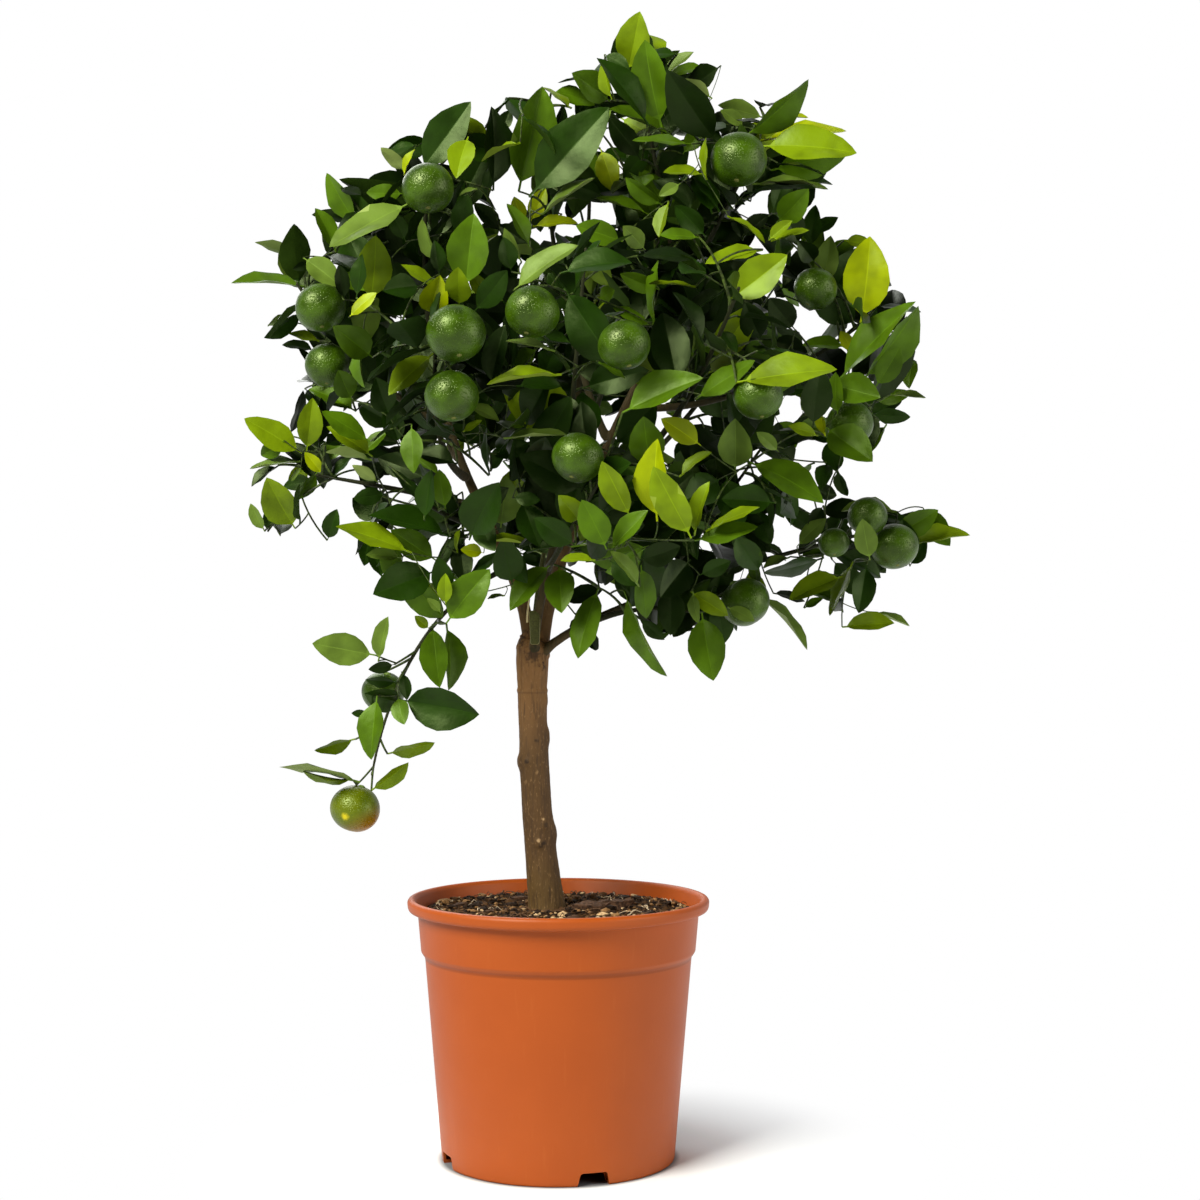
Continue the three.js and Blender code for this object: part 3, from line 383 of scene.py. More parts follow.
# Leaves of the crown's face, by tint, laid out in the front view: column and row of the root, then of
# the tip, the width that shows, the root's Y in millimetres, and how the leaf leans (see `Lean`), where
# a number is the angle itself. A row of eight numbers is all in millimetres and degrees: root, tip,
# width, and the angle by which the upper side is turned from facing -Y, round the way to the tip.
FACE_LEAVES = {
    # near-black leaves: painted shade
    Tint.DEEP: (
        (312, 264, 292, 268, 9, -20, "d"), (493, 190, 495, 107, 30, -30, "d"),
        (317, 386, 301, 347, 10, 0, "d"), (319, 448, 323, 398, 16, -6, "d"),
        (290, 436, 306, 391, 8, 6, "d"), (345, 300, 338, 265, 18, -60, "d"),
        (394, 664, 369, 671, 14, -44, "d"), (108, -48, 695, 73, -70, 738, 31, -28),
        (641, 160, 610, 116, 26, -16, "d"), (800, 246, 782, 205, 30, -30, "d"),
        (815, 262, 800, 240, 22, -24, "d"), (813, 428, 819, 367, 34, -82, "d"),
        (872, 409, 911, 318, 38, -10, "d"), (762, 340, 745, 305, 34, -60, "d"),
        (795, 330, 770, 298, 30, -30, "d"), (672, 584, 671, 635, 30, -52, "d"),
        (640, 560, 680, 548, 26, -130, "d"), (690, 560, 660, 595, 34, -70, "d"),
    ),
    Tint.DARK: (
        (420, 172, 473, 103, 44, -20, "u"), (356, 298, 363, 254, 18, -78, "u"),
        (421, 286, 382, 288, 28, -98, "u"), (474, 311, 509, 272, 28, -116, "d"),
        (556, 132, 565, 104, 11, 10, "d"), (529, 197, 609, 107, 40, -40, -12),
        (512, 272, 503, 237, 22, -92, "d"), (455, 236, 470, 196, 24, -60, "d"),
        (405, 242, 392, 210, 20, -50, "d"), (440, 275, 434, 240, 16, -80, "d"),
        (604, 196, 560, 178, 22, -20, "d"), (303, 312, 264, 338, 14, 0, "d"),
        (268, 531, 268, 506, 12, -4, "d"), (328, 540, 338, 510, 20, 0, "u"),
        (386, 493, 353, 499, 19, -12, "d"), (388, 464, 426, 505, 18, -62, "u"),
        (400, 444, 385, 405, 24, -60, "d"), (390, 416, 375, 378, 30, -70, "d"),
        (450, 537, 370, 512, 24, -62, "u"), (436, 571, 374, 594, 52, -60, "u"),
        (447, 600, 437, 557, 24, -66, "d"), (397, 682, 365, 680, 12, -46, "d"),
        (399, 702, 367, 694, 28, -40, "d"), (402, 672, 408, 699, 12, -36, "d"),
        (368, 713, 352, 713, 9, -44, "d"), (401, 700, 480, 711, 48, -46, 12),
        (38, -70, 490, 66, -76, 518, 26, 9), (148, -10, 655, 160, -14, 688, 15, 9),
        (478, 520, 492, 550, 26, -70, "u"), (489, 476, 484, 428, 8, -90, "u"),
        (470, 540, 495, 481, 44, -84, "u"), (425, 520, 432, 470, 22, -78, "u"),
        (649, 126, 602, 54, 30, -46, "u"), (809, 249, 816, 205, 20, -20, "u"),
        (706, 236, 676, 205, 24, -70, "d"), (565, 288, 618, 368, 44, -122, "d"),
        (872, 414, 910, 416, 16, -10, "d"), (858, 326, 812, 282, 40, -10, "d"),
        (720, 330, 738, 352, 14, -80, "u"), (776, 503, 722, 497, 32, -112, "u"),
        (823, 559, 764, 577, 16, -24, "d"), (866, 565, 858, 613, 28, -14, "d"),
        (908, 560, 905, 520, 30, -30, "u"), (700, 575, 730, 560, 20, -70, "d"),
        (512, 584, 500, 540, 36, -50, "d"), (500, 540, 526, 585, 24, -44, "u"),
        (520, 500, 540, 545, 30, -90, "d"), (575, 545, 535, 520, 30, -110, "d"),
        (512, 497, 540, 500, 16, -100, "u"), (610, 560, 640, 585, 24, -120, "d"),
    ),
    Tint.MID: (
        (404, 194, 366, 194, 20, -30, "u"), (357, 226, 325, 174, 24, -20, "d"),
        (336, 252, 317, 207, 20, -32, "d"), (306, 286, 231, 279, 16, 0, "u"),
        (465, 289, 473, 213, 46, -95, "u"), (519, 192, 540, 85, 48, -22, "d"),
        (611, 101, 573, 72, 36, -16, "u"), (650, 214, 595, 197, 13, -34, "u"),
        (622, 242, 576, 226, 28, -62, "u"), (531, 247, 508, 203, 18, -52, "d"),
        (372, 358, 334, 326, 42, -100, "u"), (370, 442, 322, 411, 22, -66, "u"),
        (318, 473, 296, 500, 13, -6, "d"), (412, 424, 414, 473, 24, -74, "u"),
        (352, 400, 338, 370, 26, -60, "d"), (437, 561, 390, 530, 30, -54, "u"),
        (447, 623, 486, 568, 40, -72, "u"), (398, 696, 404, 724, 20, -42, "u"),
        (432, 624, 440, 688, 28, -24, "u"), (446, 624, 454, 690, 22, -14, "d"),
        (377, 696, 370, 760, 28, -52, "u"), (446, 510, 438, 470, 22, -64, "u"),
        (662, 128, 640, 41, 40, -34, "u"), (672, 136, 609, 108, 20, -38, "u"),
        (691, 144, 633, 137, 15, -62, "u"), (662, 206, 624, 180, 17, -52, "d"),
        (746, 138, 812, 83, 22, -32, "d"), (771, 170, 852, 151, 30, -24, "d"),
        (777, 222, 809, 193, 34, -38, "d"), (700, 238, 660, 234, 16, -90, "u"),
        (622, 412, 701, 374, 35, -150, "u"), (694, 399, 756, 362, 24, -132, "u"),
        (739, 392, 797, 381, 15, -128, "d"), (598, 361, 625, 378, 8, -142, "u"),
        (598, 300, 614, 290, 18, -64, "u"), (651, 326, 613, 307, 15, -66, "u"),
        (653, 326, 655, 260, 7, -70, "u"), (838, 381, 914, 299, 27, -42, "u"),
        (862, 381, 921, 308, 20, -24, "d"), (876, 387, 902, 348, 26, -30, "u"),
        (829, 384, 879, 398, 36, -54, "u"), (838, 415, 832, 372, 18, -50, "u"),
        (826, 427, 871, 463, 56, -48, "u"), (846, 346, 803, 343, 16, -4, "u"),
        (660, 290, 620, 276, 20, -60, "d"), (695, 541, 757, 527, 22, -150, "u"),
        (748, 461, 827, 496, 36, -92, "u"), (651, 470, 641, 418, 38, -120, "u"),
        (606, 549, 584, 499, 34, -160, "u"), (609, 549, 648, 511, 22, -154, "u"),
        (598, 587, 573, 657, 28, -40, "u"), (624, 591, 662, 678, 17, -50, "u"),
        (702, 612, 712, 680, 40, -60, "u"), (893, 537, 938, 509, 27, -8, "u"),
        (804, 608, 823, 598, 9, -20, "u"), (551, 564, 507, 607, 26, -46, "u"),
        (559, 566, 563, 611, 38, -40, "u"),
    ),
    Tint.FRESH: (
        (371, 302, 380, 236, 38, -56, "d"), (440, 291, 402, 262, 14, -88, "u"),
        (459, 306, 459, 270, 32, -126, "u"), (320, 341, 289, 332, 11, -10, "u"),
        (433, 353, 388, 394, 28, -118, "u"), (306, 452, 314, 398, 24, -12, "d"),
        (372, 456, 328, 424, 22, -52, "u"), (302, 453, 245, 417, 29, -12, "u"),
        (296, 528, 265, 479, 41, -10, "u"), (411, 553, 337, 523, 22, -72, "u"),
        (446, 606, 445, 574, 17, -78, "u"), (429, 629, 414, 617, 11, -26, "u"),
        (353, 781, 302, 775, 8, -42, "d"), (456, 553, 459, 527, 6, -62, "u"),
        (462, 431, 482, 421, 9, -112, "u"), (628, 72, 641, 14, 42, -8, "u"),
        (612, 100, 602, 62, 11, -42, "u"), (705, 180, 703, 138, 6, -72, "u"),
        (704, 174, 663, 171, 15, -62, "u"), (668, 202, 657, 237, 14, -82, "u"),
        (761, 146, 857, 145, 42, -36, "u"), (728, 216, 768, 239, 10, -64, "u"),
        (768, 241, 791, 220, 14, -66, "u"), (770, 240, 808, 229, 11, -60, "u"),
        (763, 249, 706, 262, 20, -84, "u"), (729, 300, 789, 257, 42, -110, "u"),
        (819, 436, 789, 425, 14, -90, "u"), (561, 374, 486, 380, 9, -162, "u"),
        (696, 286, 649, 282, 8, -84, "u"), (631, 517, 604, 461, 28, -152, "u"),
        (691, 538, 655, 467, 36, -156, "u"), (694, 536, 707, 481, 17, -142, "u"),
        (706, 531, 758, 504, 11, -148, "u"), (679, 476, 711, 450, 12, -132, "u"),
        (580, 521, 560, 496, 26, -140, "u"), (596, 560, 561, 560, 11, -132, "u"),
        (690, 592, 727, 616, 22, -72, "u"), (907, 546, 969, 533, 17, -10, "u"),
        (843, 576, 789, 598, 17, -20, "u"), (853, 562, 829, 615, 11, -24, "u"),
        (842, 627, 895, 623, 20, -22, "u"), (484, 540, 529, 542, 5, -70, "u"),
        (356, 740, 314, 751, 9, -40, -50), (388, 754, 434, 743, 9, -40, 50),
        (371, 791, 408, 764, 14, -50, 44), (736, 383, 837, 366, 24, -140, "u"),
        (468, 136, 454, 175, 30, -48, "u"),
    ),
    # yellow-green leaves: young ones, and ones that glow lit from behind, whose glow is painted light
    Tint.LIME: (
        (404, 176, 413, 148, 9, -10, "u"), (349, 318, 375, 292, 16, -95, "u"),
        (430, 316, 437, 277, 32, -118, "u"), (524, 222, 513, 197, 18, -8, "u"),
        (530, 221, 546, 189, 20, -12, "u"), (533, 226, 577, 222, 15, -6, "u"),
        (600, 148, 616, 191, 26, 4, "u"), (322, 474, 305, 452, 15, -20, "u"),
        (483, 553, 460, 549, 15, -58, "u"), (760, 141, 846, 127, 25, -8, "u"),
        (764, 117, 808, 116, 10, 4, "u"), (860, 323, 874, 237, 50, -20, "u"),
        (701, 445, 663, 417, 26, -112, "u"), (824, 437, 820, 407, 9, -70, "u"),
        (543, 367, 611, 376, 42, -152, "u"), (852, 353, 842, 331, 14, -8, "u"),
        (657, 522, 651, 440, 34, -144, "u"),
    ),
    # pale grey-green leaves: rows marked U show the underside; the others are upper sides with a painted
    # sheen
    Tint.SAGE: (
        (405, 171, 381, 147, 13, 0, "U"), (410, 203, 328, 245, 34, -72, "u"),
        (303, 261, 255, 240, 9, 0, "U"), (303, 258, 342, 284, 26, -50, "u"),
        # the second leaf of the next line is the pale shining half of the dark leaf that runs from (529,
        # 197): a painted sheen
        (437, 264, 421, 219, 15, -62, "u"), (541, 191, 610, 109, 26, -30, "u"),
        (541, 214, 594, 177, 12, -46, "u"), (646, 250, 624, 226, 22, -70, "u"),
        (514, 291, 575, 241, 27, -112, "u"), (522, 262, 504, 228, 12, -80, "u"),
        (478, 188, 460, 195, 6, -60, "u"), (301, 461, 250, 467, 9, -8, "u"),
        (302, 466, 291, 481, 6, -8, "u"), (265, 531, 250, 504, 14, -12, "u"),
        (378, 482, 352, 466, 13, -14, "U"), (372, 459, 326, 451, 10, -36, "U"),
        (401, 557, 367, 553, 15, -58, "u"), (441, 613, 428, 598, 9, -76, "u"),
        (376, 655, 313, 644, 34, -40, "u"), (378, 661, 387, 617, 18, -46, "u"),
        (361, 782, 281, 761, 12, -46, "U"), (466, 404, 500, 419, 14, -110, "u"),
        (504, 437, 566, 433, 9, -140, "u"), (662, 78, 692, 51, 14, 0, "u"), (712, 98, 680, 77, 9, -22, "U"),
        (681, 184, 659, 196, 13, -76, "u"), (764, 118, 718, 106, 22, 20, "u"),
        (744, 127, 722, 109, 16, -4, "u"), (752, 184, 829, 186, 11, -30, "u"),
        (822, 289, 833, 236, 26, -4, "u"), (735, 472, 736, 419, 44, -100, "u"),
        (778, 451, 758, 431, 16, -100, "u"), (555, 351, 505, 340, 9, -150, "u"),
        (890, 395, 926, 398, 9, -8, "u"), (639, 586, 611, 551, 16, -142, "u"),
        (692, 592, 697, 624, 12, -76, "u"), (727, 607, 755, 621, 11, -62, "u"),
        (757, 594, 812, 646, 9, -44, "u"), (790, 556, 762, 567, 9, -36, "u"),
        (898, 512, 842, 505, 12, -2, "u"), (870, 560, 862, 520, 26, -64, "u"),
        (797, 546, 824, 517, 18, -34, "u"), (872, 612, 910, 626, 6, -14, "u"),
        (505, 595, 487, 598, 5, -30, "u"),
    ),
}

# Lines of sight from the front that stay open: column, row and radius in the front view.
SEEN_GAPS = (
    (500, 198, 10), (515, 190, 14), (523, 183, 10), (533, 236, 6), (546, 236, 6), (571, 232, 7),
    (591, 214, 9), (606, 210, 6), (610, 138, 9), (600, 142, 5), (618, 143, 5), (694, 156, 5), (738, 190, 4),
    (767, 194, 4), (750, 209, 5), (760, 211, 5), (759, 249, 6), (768, 294, 5), (785, 308, 9), (793, 318, 7),
    (815, 325, 12), (808, 338, 7), (822, 318, 8), (790, 405, 9), (785, 415, 6), (828, 408, 8),
    (805, 452, 7), (815, 452, 7), (850, 330, 6), (565, 317, 5), (440, 443, 4), (470, 455, 4), (478, 460, 4),
    (446, 470, 4), (472, 470, 6), (483, 476, 6), (468, 495, 4), (388, 480, 5), (395, 490, 5), (402, 498, 4),
    (783, 530, 9), (785, 545, 8), (778, 525, 6), (806, 502, 7), (745, 476, 7), (757, 455, 5), (674, 440, 4),
    (694, 408, 4), (707, 420, 4), (440, 543, 5), (399, 323, 3), (350, 140, 38), (270, 195, 40),
    (262, 262, 8), (240, 315, 26), (262, 375, 36), (330, 590, 38), (345, 560, 14), (300, 700, 40),
    (790, 55, 30), (900, 120, 50), (880, 190, 44), (915, 250, 28), (950, 330, 32), (950, 400, 20),
    (925, 455, 40), (905, 485, 20), (900, 590, 22), (950, 590, 40), (612, 625, 18), (635, 640, 8),
    (682, 662, 14), (780, 680, 40), (755, 645, 22), (555, 60, 16), (470, 60, 38), (515, 88, 12),
    (712, 38, 18), (590, 35, 22), (745, 80, 20), (405, 632, 9), (418, 668, 6), (455, 750, 30),
    (495, 590, 14), (830, 90, 26), (848, 180, 12), (852, 222, 10), (585, 572, 10), (610, 592, 6),
    (330, 510, 18), (345, 525, 8), (310, 505, 8), (285, 600, 30), (820, 640, 16), (880, 645, 12),
    (300, 335, 4), (300, 370, 4),
)

# More of them, in millimetres: the place on the plane y = 0 and the radius.
MORE_GAPS = (
    (-102, 258, 17), (-146, 306, 7), (-118, 262, 8), (-114, 722, 13), (-186, 641, 8), (-195, 596, 9),
    (-192, 420, 12), (-224, 455, 14), (-172, 432, 9), (-148, 467, 9), (83, 779, 8), (188, 668, 8),
    (244, 606, 7), (214, 462, 9), (-232, 480, 12), (-224, 530, 14), (60, 346, 8), (196, 345, 16),
    (-128, 388, 13), (-118, 362, 6), (-146, 331, 9), (-205, 427, 6), (-194, 473, 6), (-88, 728, 8),
    (92, 782, 9), (-10, 735, 6), (-170, 640, 6), (154, 403, 7), (169, 411, 5), (184, 412, 5), (184, 380, 6),
    (205, 385, 5), (91, 358, 6), (64, 352, 5),
)


# ---------------------------------------------------------------- vector helpers


def unit(vector: np.ndarray) -> np.ndarray:
    """Scales a vector, or each row of an array, to length one."""
    return vector / np.linalg.norm(vector, axis=-1, keepdims=True)


def mix(low: Any, high: Any, share: Any) -> Any:
    """Goes from low to high by a share."""
    return low + (high - low) * share


def metres(millimetres: Any) -> np.ndarray:
    """Turns numbers in millimetres into an array in metres."""
    return np.array(millimetres, float) * MM


def turned(vector: np.ndarray, axis: np.ndarray, angle: float) -> np.ndarray:
    """Turns a vector round a unit axis by an angle in radians."""
    return (vector * math.cos(angle) + np.cross(axis, vector) * math.sin(angle)
            + axis * (axis @ vector) * (1 - math.cos(angle)))


def square_to(vector: np.ndarray, along: np.ndarray) -> np.ndarray:
    """The unit vector nearest to a vector among those square to `along`."""
    return unit(vector - along * (vector @ along))


def piercings(starts: np.ndarray, ends: np.ndarray, triangles: np.ndarray) -> np.ndarray:
    """Finds where segments go through triangles.

    Args:
        starts: Start of each segment, one row each.
        ends: End of each segment.
        triangles: Triangles of three corners each.

    Returns:
        Points where a segment meets a triangle, one row each.
    """
    way = ends - starts
    corner = triangles[:, 0]
    first = triangles[:, 1] - corner
    second = triangles[:, 2] - corner
    across = np.cross(way[:, None], second[None])
    spread = (across * first[None]).sum(-1)
    spread = np.where(np.abs(spread) < 1e-14, 1e-14, spread)
    offset = starts[:, None] - corner[None]
    u = (offset * across).sum(-1) / spread
    normal = np.cross(offset, first[None])
    v = (way[:, None] * normal).sum(-1) / spread
    share = (second[None] * normal).sum(-1) / spread
    hit = (u >= 0) & (v >= 0) & (u + v <= 1) & (share >= 0) & (share <= 1)
    rows, _ = np.nonzero(hit)
    return starts[rows] + way[rows] * share[hit][:, None]


# ---------------------------------------------------------------- limbs and spaces


class Limb:
    """A curve given by Bezier control points, in metres."""

    def __init__(self, controls: Sequence[np.ndarray]):
        """Stores the control points: three or four of them."""
        self.controls = np.array(controls, float)
        self.degree = len(self.controls) - 1
        self.weights = [math.comb(self.degree, i) for i in range(self.degree + 1)]

    def points(self, shares: np.ndarray) -> np.ndarray:
        """The points at several shares of the curve.

        Args:
            shares: Shares of the curve, from 0 to 1.

        Returns:
            The points, one row each.
        """
        t = np.atleast_1d(shares)[:, None]
        terms = (weight * (1 - t) ** (self.degree - i) * t ** i * self.controls[i]
                 for i, weight in enumerate(self.weights))
        return sum(terms)

    def point(self, share: float) -> np.ndarray:
        """The point at one share of the curve."""
        return self.points(np.array([share]))[0]

    def tangent(self, share: float) -> np.ndarray:
        """The direction of the curve at a share of it."""
        low, high = max(0.0, share - 0.01), min(1.0, share + 0.01)
        return unit(self.point(high) - self.point(low))

    def length(self) -> float:
        """The length of the curve."""
        points = self.points(np.linspace(0, 1, 25))
        return float(np.linalg.norm(np.diff(points, axis=0), axis=1).sum())

    def nearest(self, place: np.ndarray, low: float = 0.0) -> float:
        """The share of the curve, from `low` on, that is nearest to a place."""
        shares = np.linspace(low, 1, 21)
        return float(shares[np.linalg.norm(self.points(shares) - place, axis=1).argmin()])


def limb_by(start: np.ndarray, handles: Sequence[Triple], end: np.ndarray) -> Limb:
    """The curve of a bough from its start by one or two handles to its end."""
    return Limb([start, *map(metres, handles), end])


class Space:
    """The walls and the ellipsoid of one mass of foliage."""

    centres = metres([row.centre for row in MASSES])
    radii = metres([row.radii for row in MASSES])
    sizes = radii.mean(axis=1)

    def __init__(self, index: int):
        """Works out the walls between one mass and all the others.

        Args:
            index: The mass's row in the table.
        """
        self.centre = Space.centres[index]
        self.sides = Space.radii[index]
        away = np.delete(Space.centres, index, 0) - self.centre
        distance = np.linalg.norm(away, axis=1)
        bias = Space.sizes[index] ** 2 - np.delete(Space.sizes, index) ** 2
        self.normals = away / distance[:, None]
        self.offsets = (distance ** 2 + bias) / (2 * distance)

    @staticmethod
    def holding(place: np.ndarray) -> int:
        """The index of the mass whose walls hold a place."""
        power = ((Space.centres - place) ** 2).sum(1) - Space.sizes ** 2
        return int(power.argmin())

    @staticmethod
    def in_crown(places: np.ndarray, share: float = 1.0) -> np.ndarray:
        """Whether each place is inside the ellipsoid of any mass, at a share of its size."""
        offsets = (places[:, None] - Space.centres[None]) / Space.radii[None]
        return ((offsets ** 2).sum(-1) <= share * share).any(1)

    def room(self, places: np.ndarray) -> np.ndarray:
        """The distance from each place to the nearest wall, negative outside."""
        return (self.offsets - (places - self.centre) @ self.normals.T).min(-1)


@dataclass
class Bough:
    """A bough: its row, its whole curve, its space and the share at which it enters that."""

    row: Mass
    curve: Limb
    space: Space
    enters: float

    def radius(self, share: float) -> float:
        """The radius at a share of the whole curve."""
        return mix(self.row.girth[0], self.row.girth[1], share) * MM


def trunk_radius(share: float) -> float:
    """The trunk's radius in metres at a share of its length, without its knots."""
    shares, radii = zip(*TRUNK.girth)
    return float(np.interp(share, shares, radii)) * MM


def trunk_line() -> Limb:
    """The middle line of the trunk."""
    return Limb(metres([TRUNK.foot, TRUNK.bend, TRUNK.fork]))


def along_wood(limbs: Iterable[tuple[Any, Limb, np.ndarray]]) -> tuple[np.ndarray, np.ndarray]:
    """Points along several limbs, with the radius at each.

    Args:
        limbs: For each, what gives its radius at a share, its curve, and the shares.

    Returns:
        The points and the radii, in metres.
    """
    limbs = list(limbs)
    places = [curve.point(share) for _, curve, shares in limbs for share in shares]
    return np.array(places), np.array([radius(share) for radius, _, shares in limbs for share in shares])


def lay_out_boughs() -> dict[str, Bough]:
    """Lays out every bough in the order of the table.

    Returns:
        The boughs by name.
    """
    boughs: dict[str, Bough] = {}
    for index, row in enumerate(MASSES):
        if row.parent == "trunk":
            start = metres(row.at)
        else:
            parent = boughs[row.parent]
            start = parent.curve.point(row.at * parent.enters)
        curve = limb_by(start, row.by, metres(row.end))
        space = Space(index)
        shares = np.arange(RULE.bare, 0.95, 0.01)
        places = curve.points(shares)
        own = (((places - space.centre) / Space.radii[index]) ** 2).sum(1) <= 1
        enters = float(shares[(own & (space.room(places) > RULE.wall)).argmax()])
        boughs[row.name] = Bough(row, curve, space, enters)
    return boughs


# ---------------------------------------------------------------- growth


@dataclass
class Twig:
    """A twig: its curve, its radii at both ends and the tint of what grows on it."""

    curve: Limb
    foot: float
    tip: float
    tint: Tint


@dataclass
class Fruit:
    """A fruit: its centre, its radius and the way its stalk comes in."""

    centre: np.ndarray
    radius: float
    stalk: np.ndarray


@dataclass
class Leaf:
    """A leaf: where it is rooted, its two directions, its length and its tint.

    A breadth of 0 is left to chance; any other is a share of the length.
    """

    root: np.ndarray
    along: np.ndarray
    up: np.ndarray
    length: float
    tint: Tint
    breadth: float = 0.0

    def patch(self) -> np.ndarray:
        """Six points of the blade's outline: root, two on the left, tip, two on the right.

        Returns:
            The points, one row each, in metres.
        """
        side = np.cross(self.along, self.up)
        low, high = 0.3 * self.length, 0.68 * self.length
        wide, rise = (self.breadth or 0.5) * 0.46 * self.length, 0.08 * self.length
        drop = self.up * 0.05 * self.length
        return np.array([
            self.root,
            self.root + self.along * low + side * wide + self.up * rise,
            self.root + self.along * high + side * wide + self.up * rise - drop,
            self.root + self.along * self.length - 2 * drop,
            self.root + self.along * high - side * wide + self.up * rise - drop,
            self.root + self.along * low - side * wide + self.up * rise,
        ])


PATCH_EDGES = np.array([[0, 1], [1, 2], [2, 3], [3, 4], [4, 5], [5, 0], [1, 5], [2, 4]])
PATCH_TRIANGLES = np.array([[0, 1, 5], [1, 2, 5], [5, 2, 4], [2, 3, 4]])
# Points of a patch, mixed from its corners, that keep clear of limbs and fruits.
PATCH_SAMPLES = np.array([
    [1, 0, 0, 0, 0, 0], [0, 1, 0, 0, 0, 0], [0, 0, 1, 0, 0, 0], [0, 0, 0, 1, 0, 0],
    [0, 0, 0, 0, 1, 0], [0, 0, 0, 0, 0, 1], [0, .5, 0, 0, 0, .5], [0, 0, .5, 0, .5, 0],
    [0, .25, .25, 0, .25, .25], [0, .5, .5, 0, 0, 0], [0, 0, 0, 0, .5, .5], [0, 0, .3, .4, .3, 0],
    [.4, .3, 0, 0, 0, .3]])


class Face:
    """What the crown shows to the front: what stays uncovered, gaps that stay open, and the rest.

    Everything is measured as seen from the eye, in shares of the distance.
    """

    pitch = 0.004
    corner = np.array([-0.18, -0.05])
    counts = (90, 84)
    margin = 0.002

    def __init__(self) -> None:
        """Starts with the gaps, and with a grid of lines of sight through the masses."""
        gaps = metres(np.round([*(VIEW.gap(*reading) for reading in SEEN_GAPS), *MORE_GAPS]))
        self.gaps = (gaps[:, :2] - EYE[[0, 2]]) / -EYE[1]
        self.reaches = gaps[:, 2] / -EYE[1]
        self.marks = np.zeros((0, 3))
        steps = np.stack(np.meshgrid(*map(np.arange, Face.counts), indexing="ij"), -1)
        self.lines = Face.corner + steps * Face.pitch
        ways = np.insert(self.lines, 1, 1.0, axis=-1)[:, :, None] / Space.radii
        start = (EYE - Space.centres) / Space.radii
        along = (ways * start).sum(-1)
        outside = (start ** 2).sum(-1) - RULE.closed ** 2
        self.open = (along ** 2 > (ways ** 2).sum(-1) * outside).any(-1)
        apart = np.linalg.norm(self.lines[:, :, None] - self.gaps, axis=-1)
        self.open &= (apart > self.reaches + Face.margin).all(-1)

    @staticmethod
    def seen(points: np.ndarray) -> np.ndarray:
        """Where points are seen from the eye, and how far away they are."""
        depth = points[..., 1] - EYE[1]
        return np.stack([(points[..., 0] - EYE[0]) / depth, (points[..., 2] - EYE[2]) / depth, depth], -1)

    def mark(self, points: np.ndarray) -> None:
        """Keeps the points of a leaf or a fruit uncovered."""
        self.marks = np.concatenate([self.marks, self.seen(points)])

    def cover(self, patch: np.ndarray) -> None:
        """Notes the lines of sight that a leaf closes.

        Args:
            patch: The six points of the blade.
        """
        seen = self.seen(patch)[:, :2]
        low = np.maximum(np.floor((seen.min(0) - Face.corner) / Face.pitch), 0).astype(int)
        high = np.maximum(np.ceil((seen.max(0) - Face.corner) / Face.pitch), 0).astype(int)
        part = self.lines[low[0]:high[0], low[1]:high[1]]
        hit = self.inside(part.reshape(-1, 2), seen[PATCH_TRIANGLES]).reshape(part.shape[:2])
        self.open[low[0]:high[0], low[1]:high[1]] &= ~hit

    def crossed(self, points: np.ndarray) -> bool:
        """Whether a twig would pass before something marked or through a gap.

        Args:
            points: Points along the twig.

        Returns:
            Whether it does.
        """
        seen = self.seen(points)
        apart = np.linalg.norm(seen[:, None, :2] - self.marks[None, :, :2], axis=-1)
        before = seen[:, None, 2] < self.marks[None, :, 2] - RULE.before
        if ((apart < RULE.veil) & before).any():
            return True
        return bool((np.linalg.norm(seen[:, None, :2] - self.gaps, axis=-1) < self.reaches).any())

    @staticmethod
    def inside(points: np.ndarray, triangles: np.ndarray) -> np.ndarray:
        """Whether each point is in any of the triangles, all in the plane.

        Args:
            points: The points, one row each.
            triangles: Three corners each.

        Returns:
            Yes or no for each point.
        """
        edges = np.roll(triangles, -1, axis=1) - triangles
        apart = points[:, None, None] - triangles[None]
        turns = edges[None, ..., 0] * apart[..., 1] - edges[None, ..., 1] * apart[..., 0]
        return ((turns >= 0).all(-1) | (turns <= 0).all(-1)).any(-1)

    def spoils(self, patch: np.ndarray) -> bool:
        """Whether a leaf would cover a marked one or come into a gap.

        Args:
            patch: The six points of the blade.

        Returns:
            Whether it does.
        """
        seen = self.seen(patch)
        triangles = seen[PATCH_TRIANGLES][..., :2]
        behind = self.marks[self.marks[:, 2] > seen[:, 2].min() + RULE.before]
        if len(behind) and self.inside(behind[:, :2], triangles).any():
            return True
        starts, ends = seen[PATCH_EDGES][..., :2].transpose(1, 0, 2)
        way = ends - starts
        apart = self.gaps[:, None] - starts[None]
        share = np.clip((apart * way).sum(-1) / np.maximum((way ** 2).sum(-1), 1e-12), 0, 1)
        distance = np.linalg.norm(apart - way * share[..., None], axis=-1).min(1)
        return bool((distance < self.reaches).any() or self.inside(self.gaps, triangles).any())


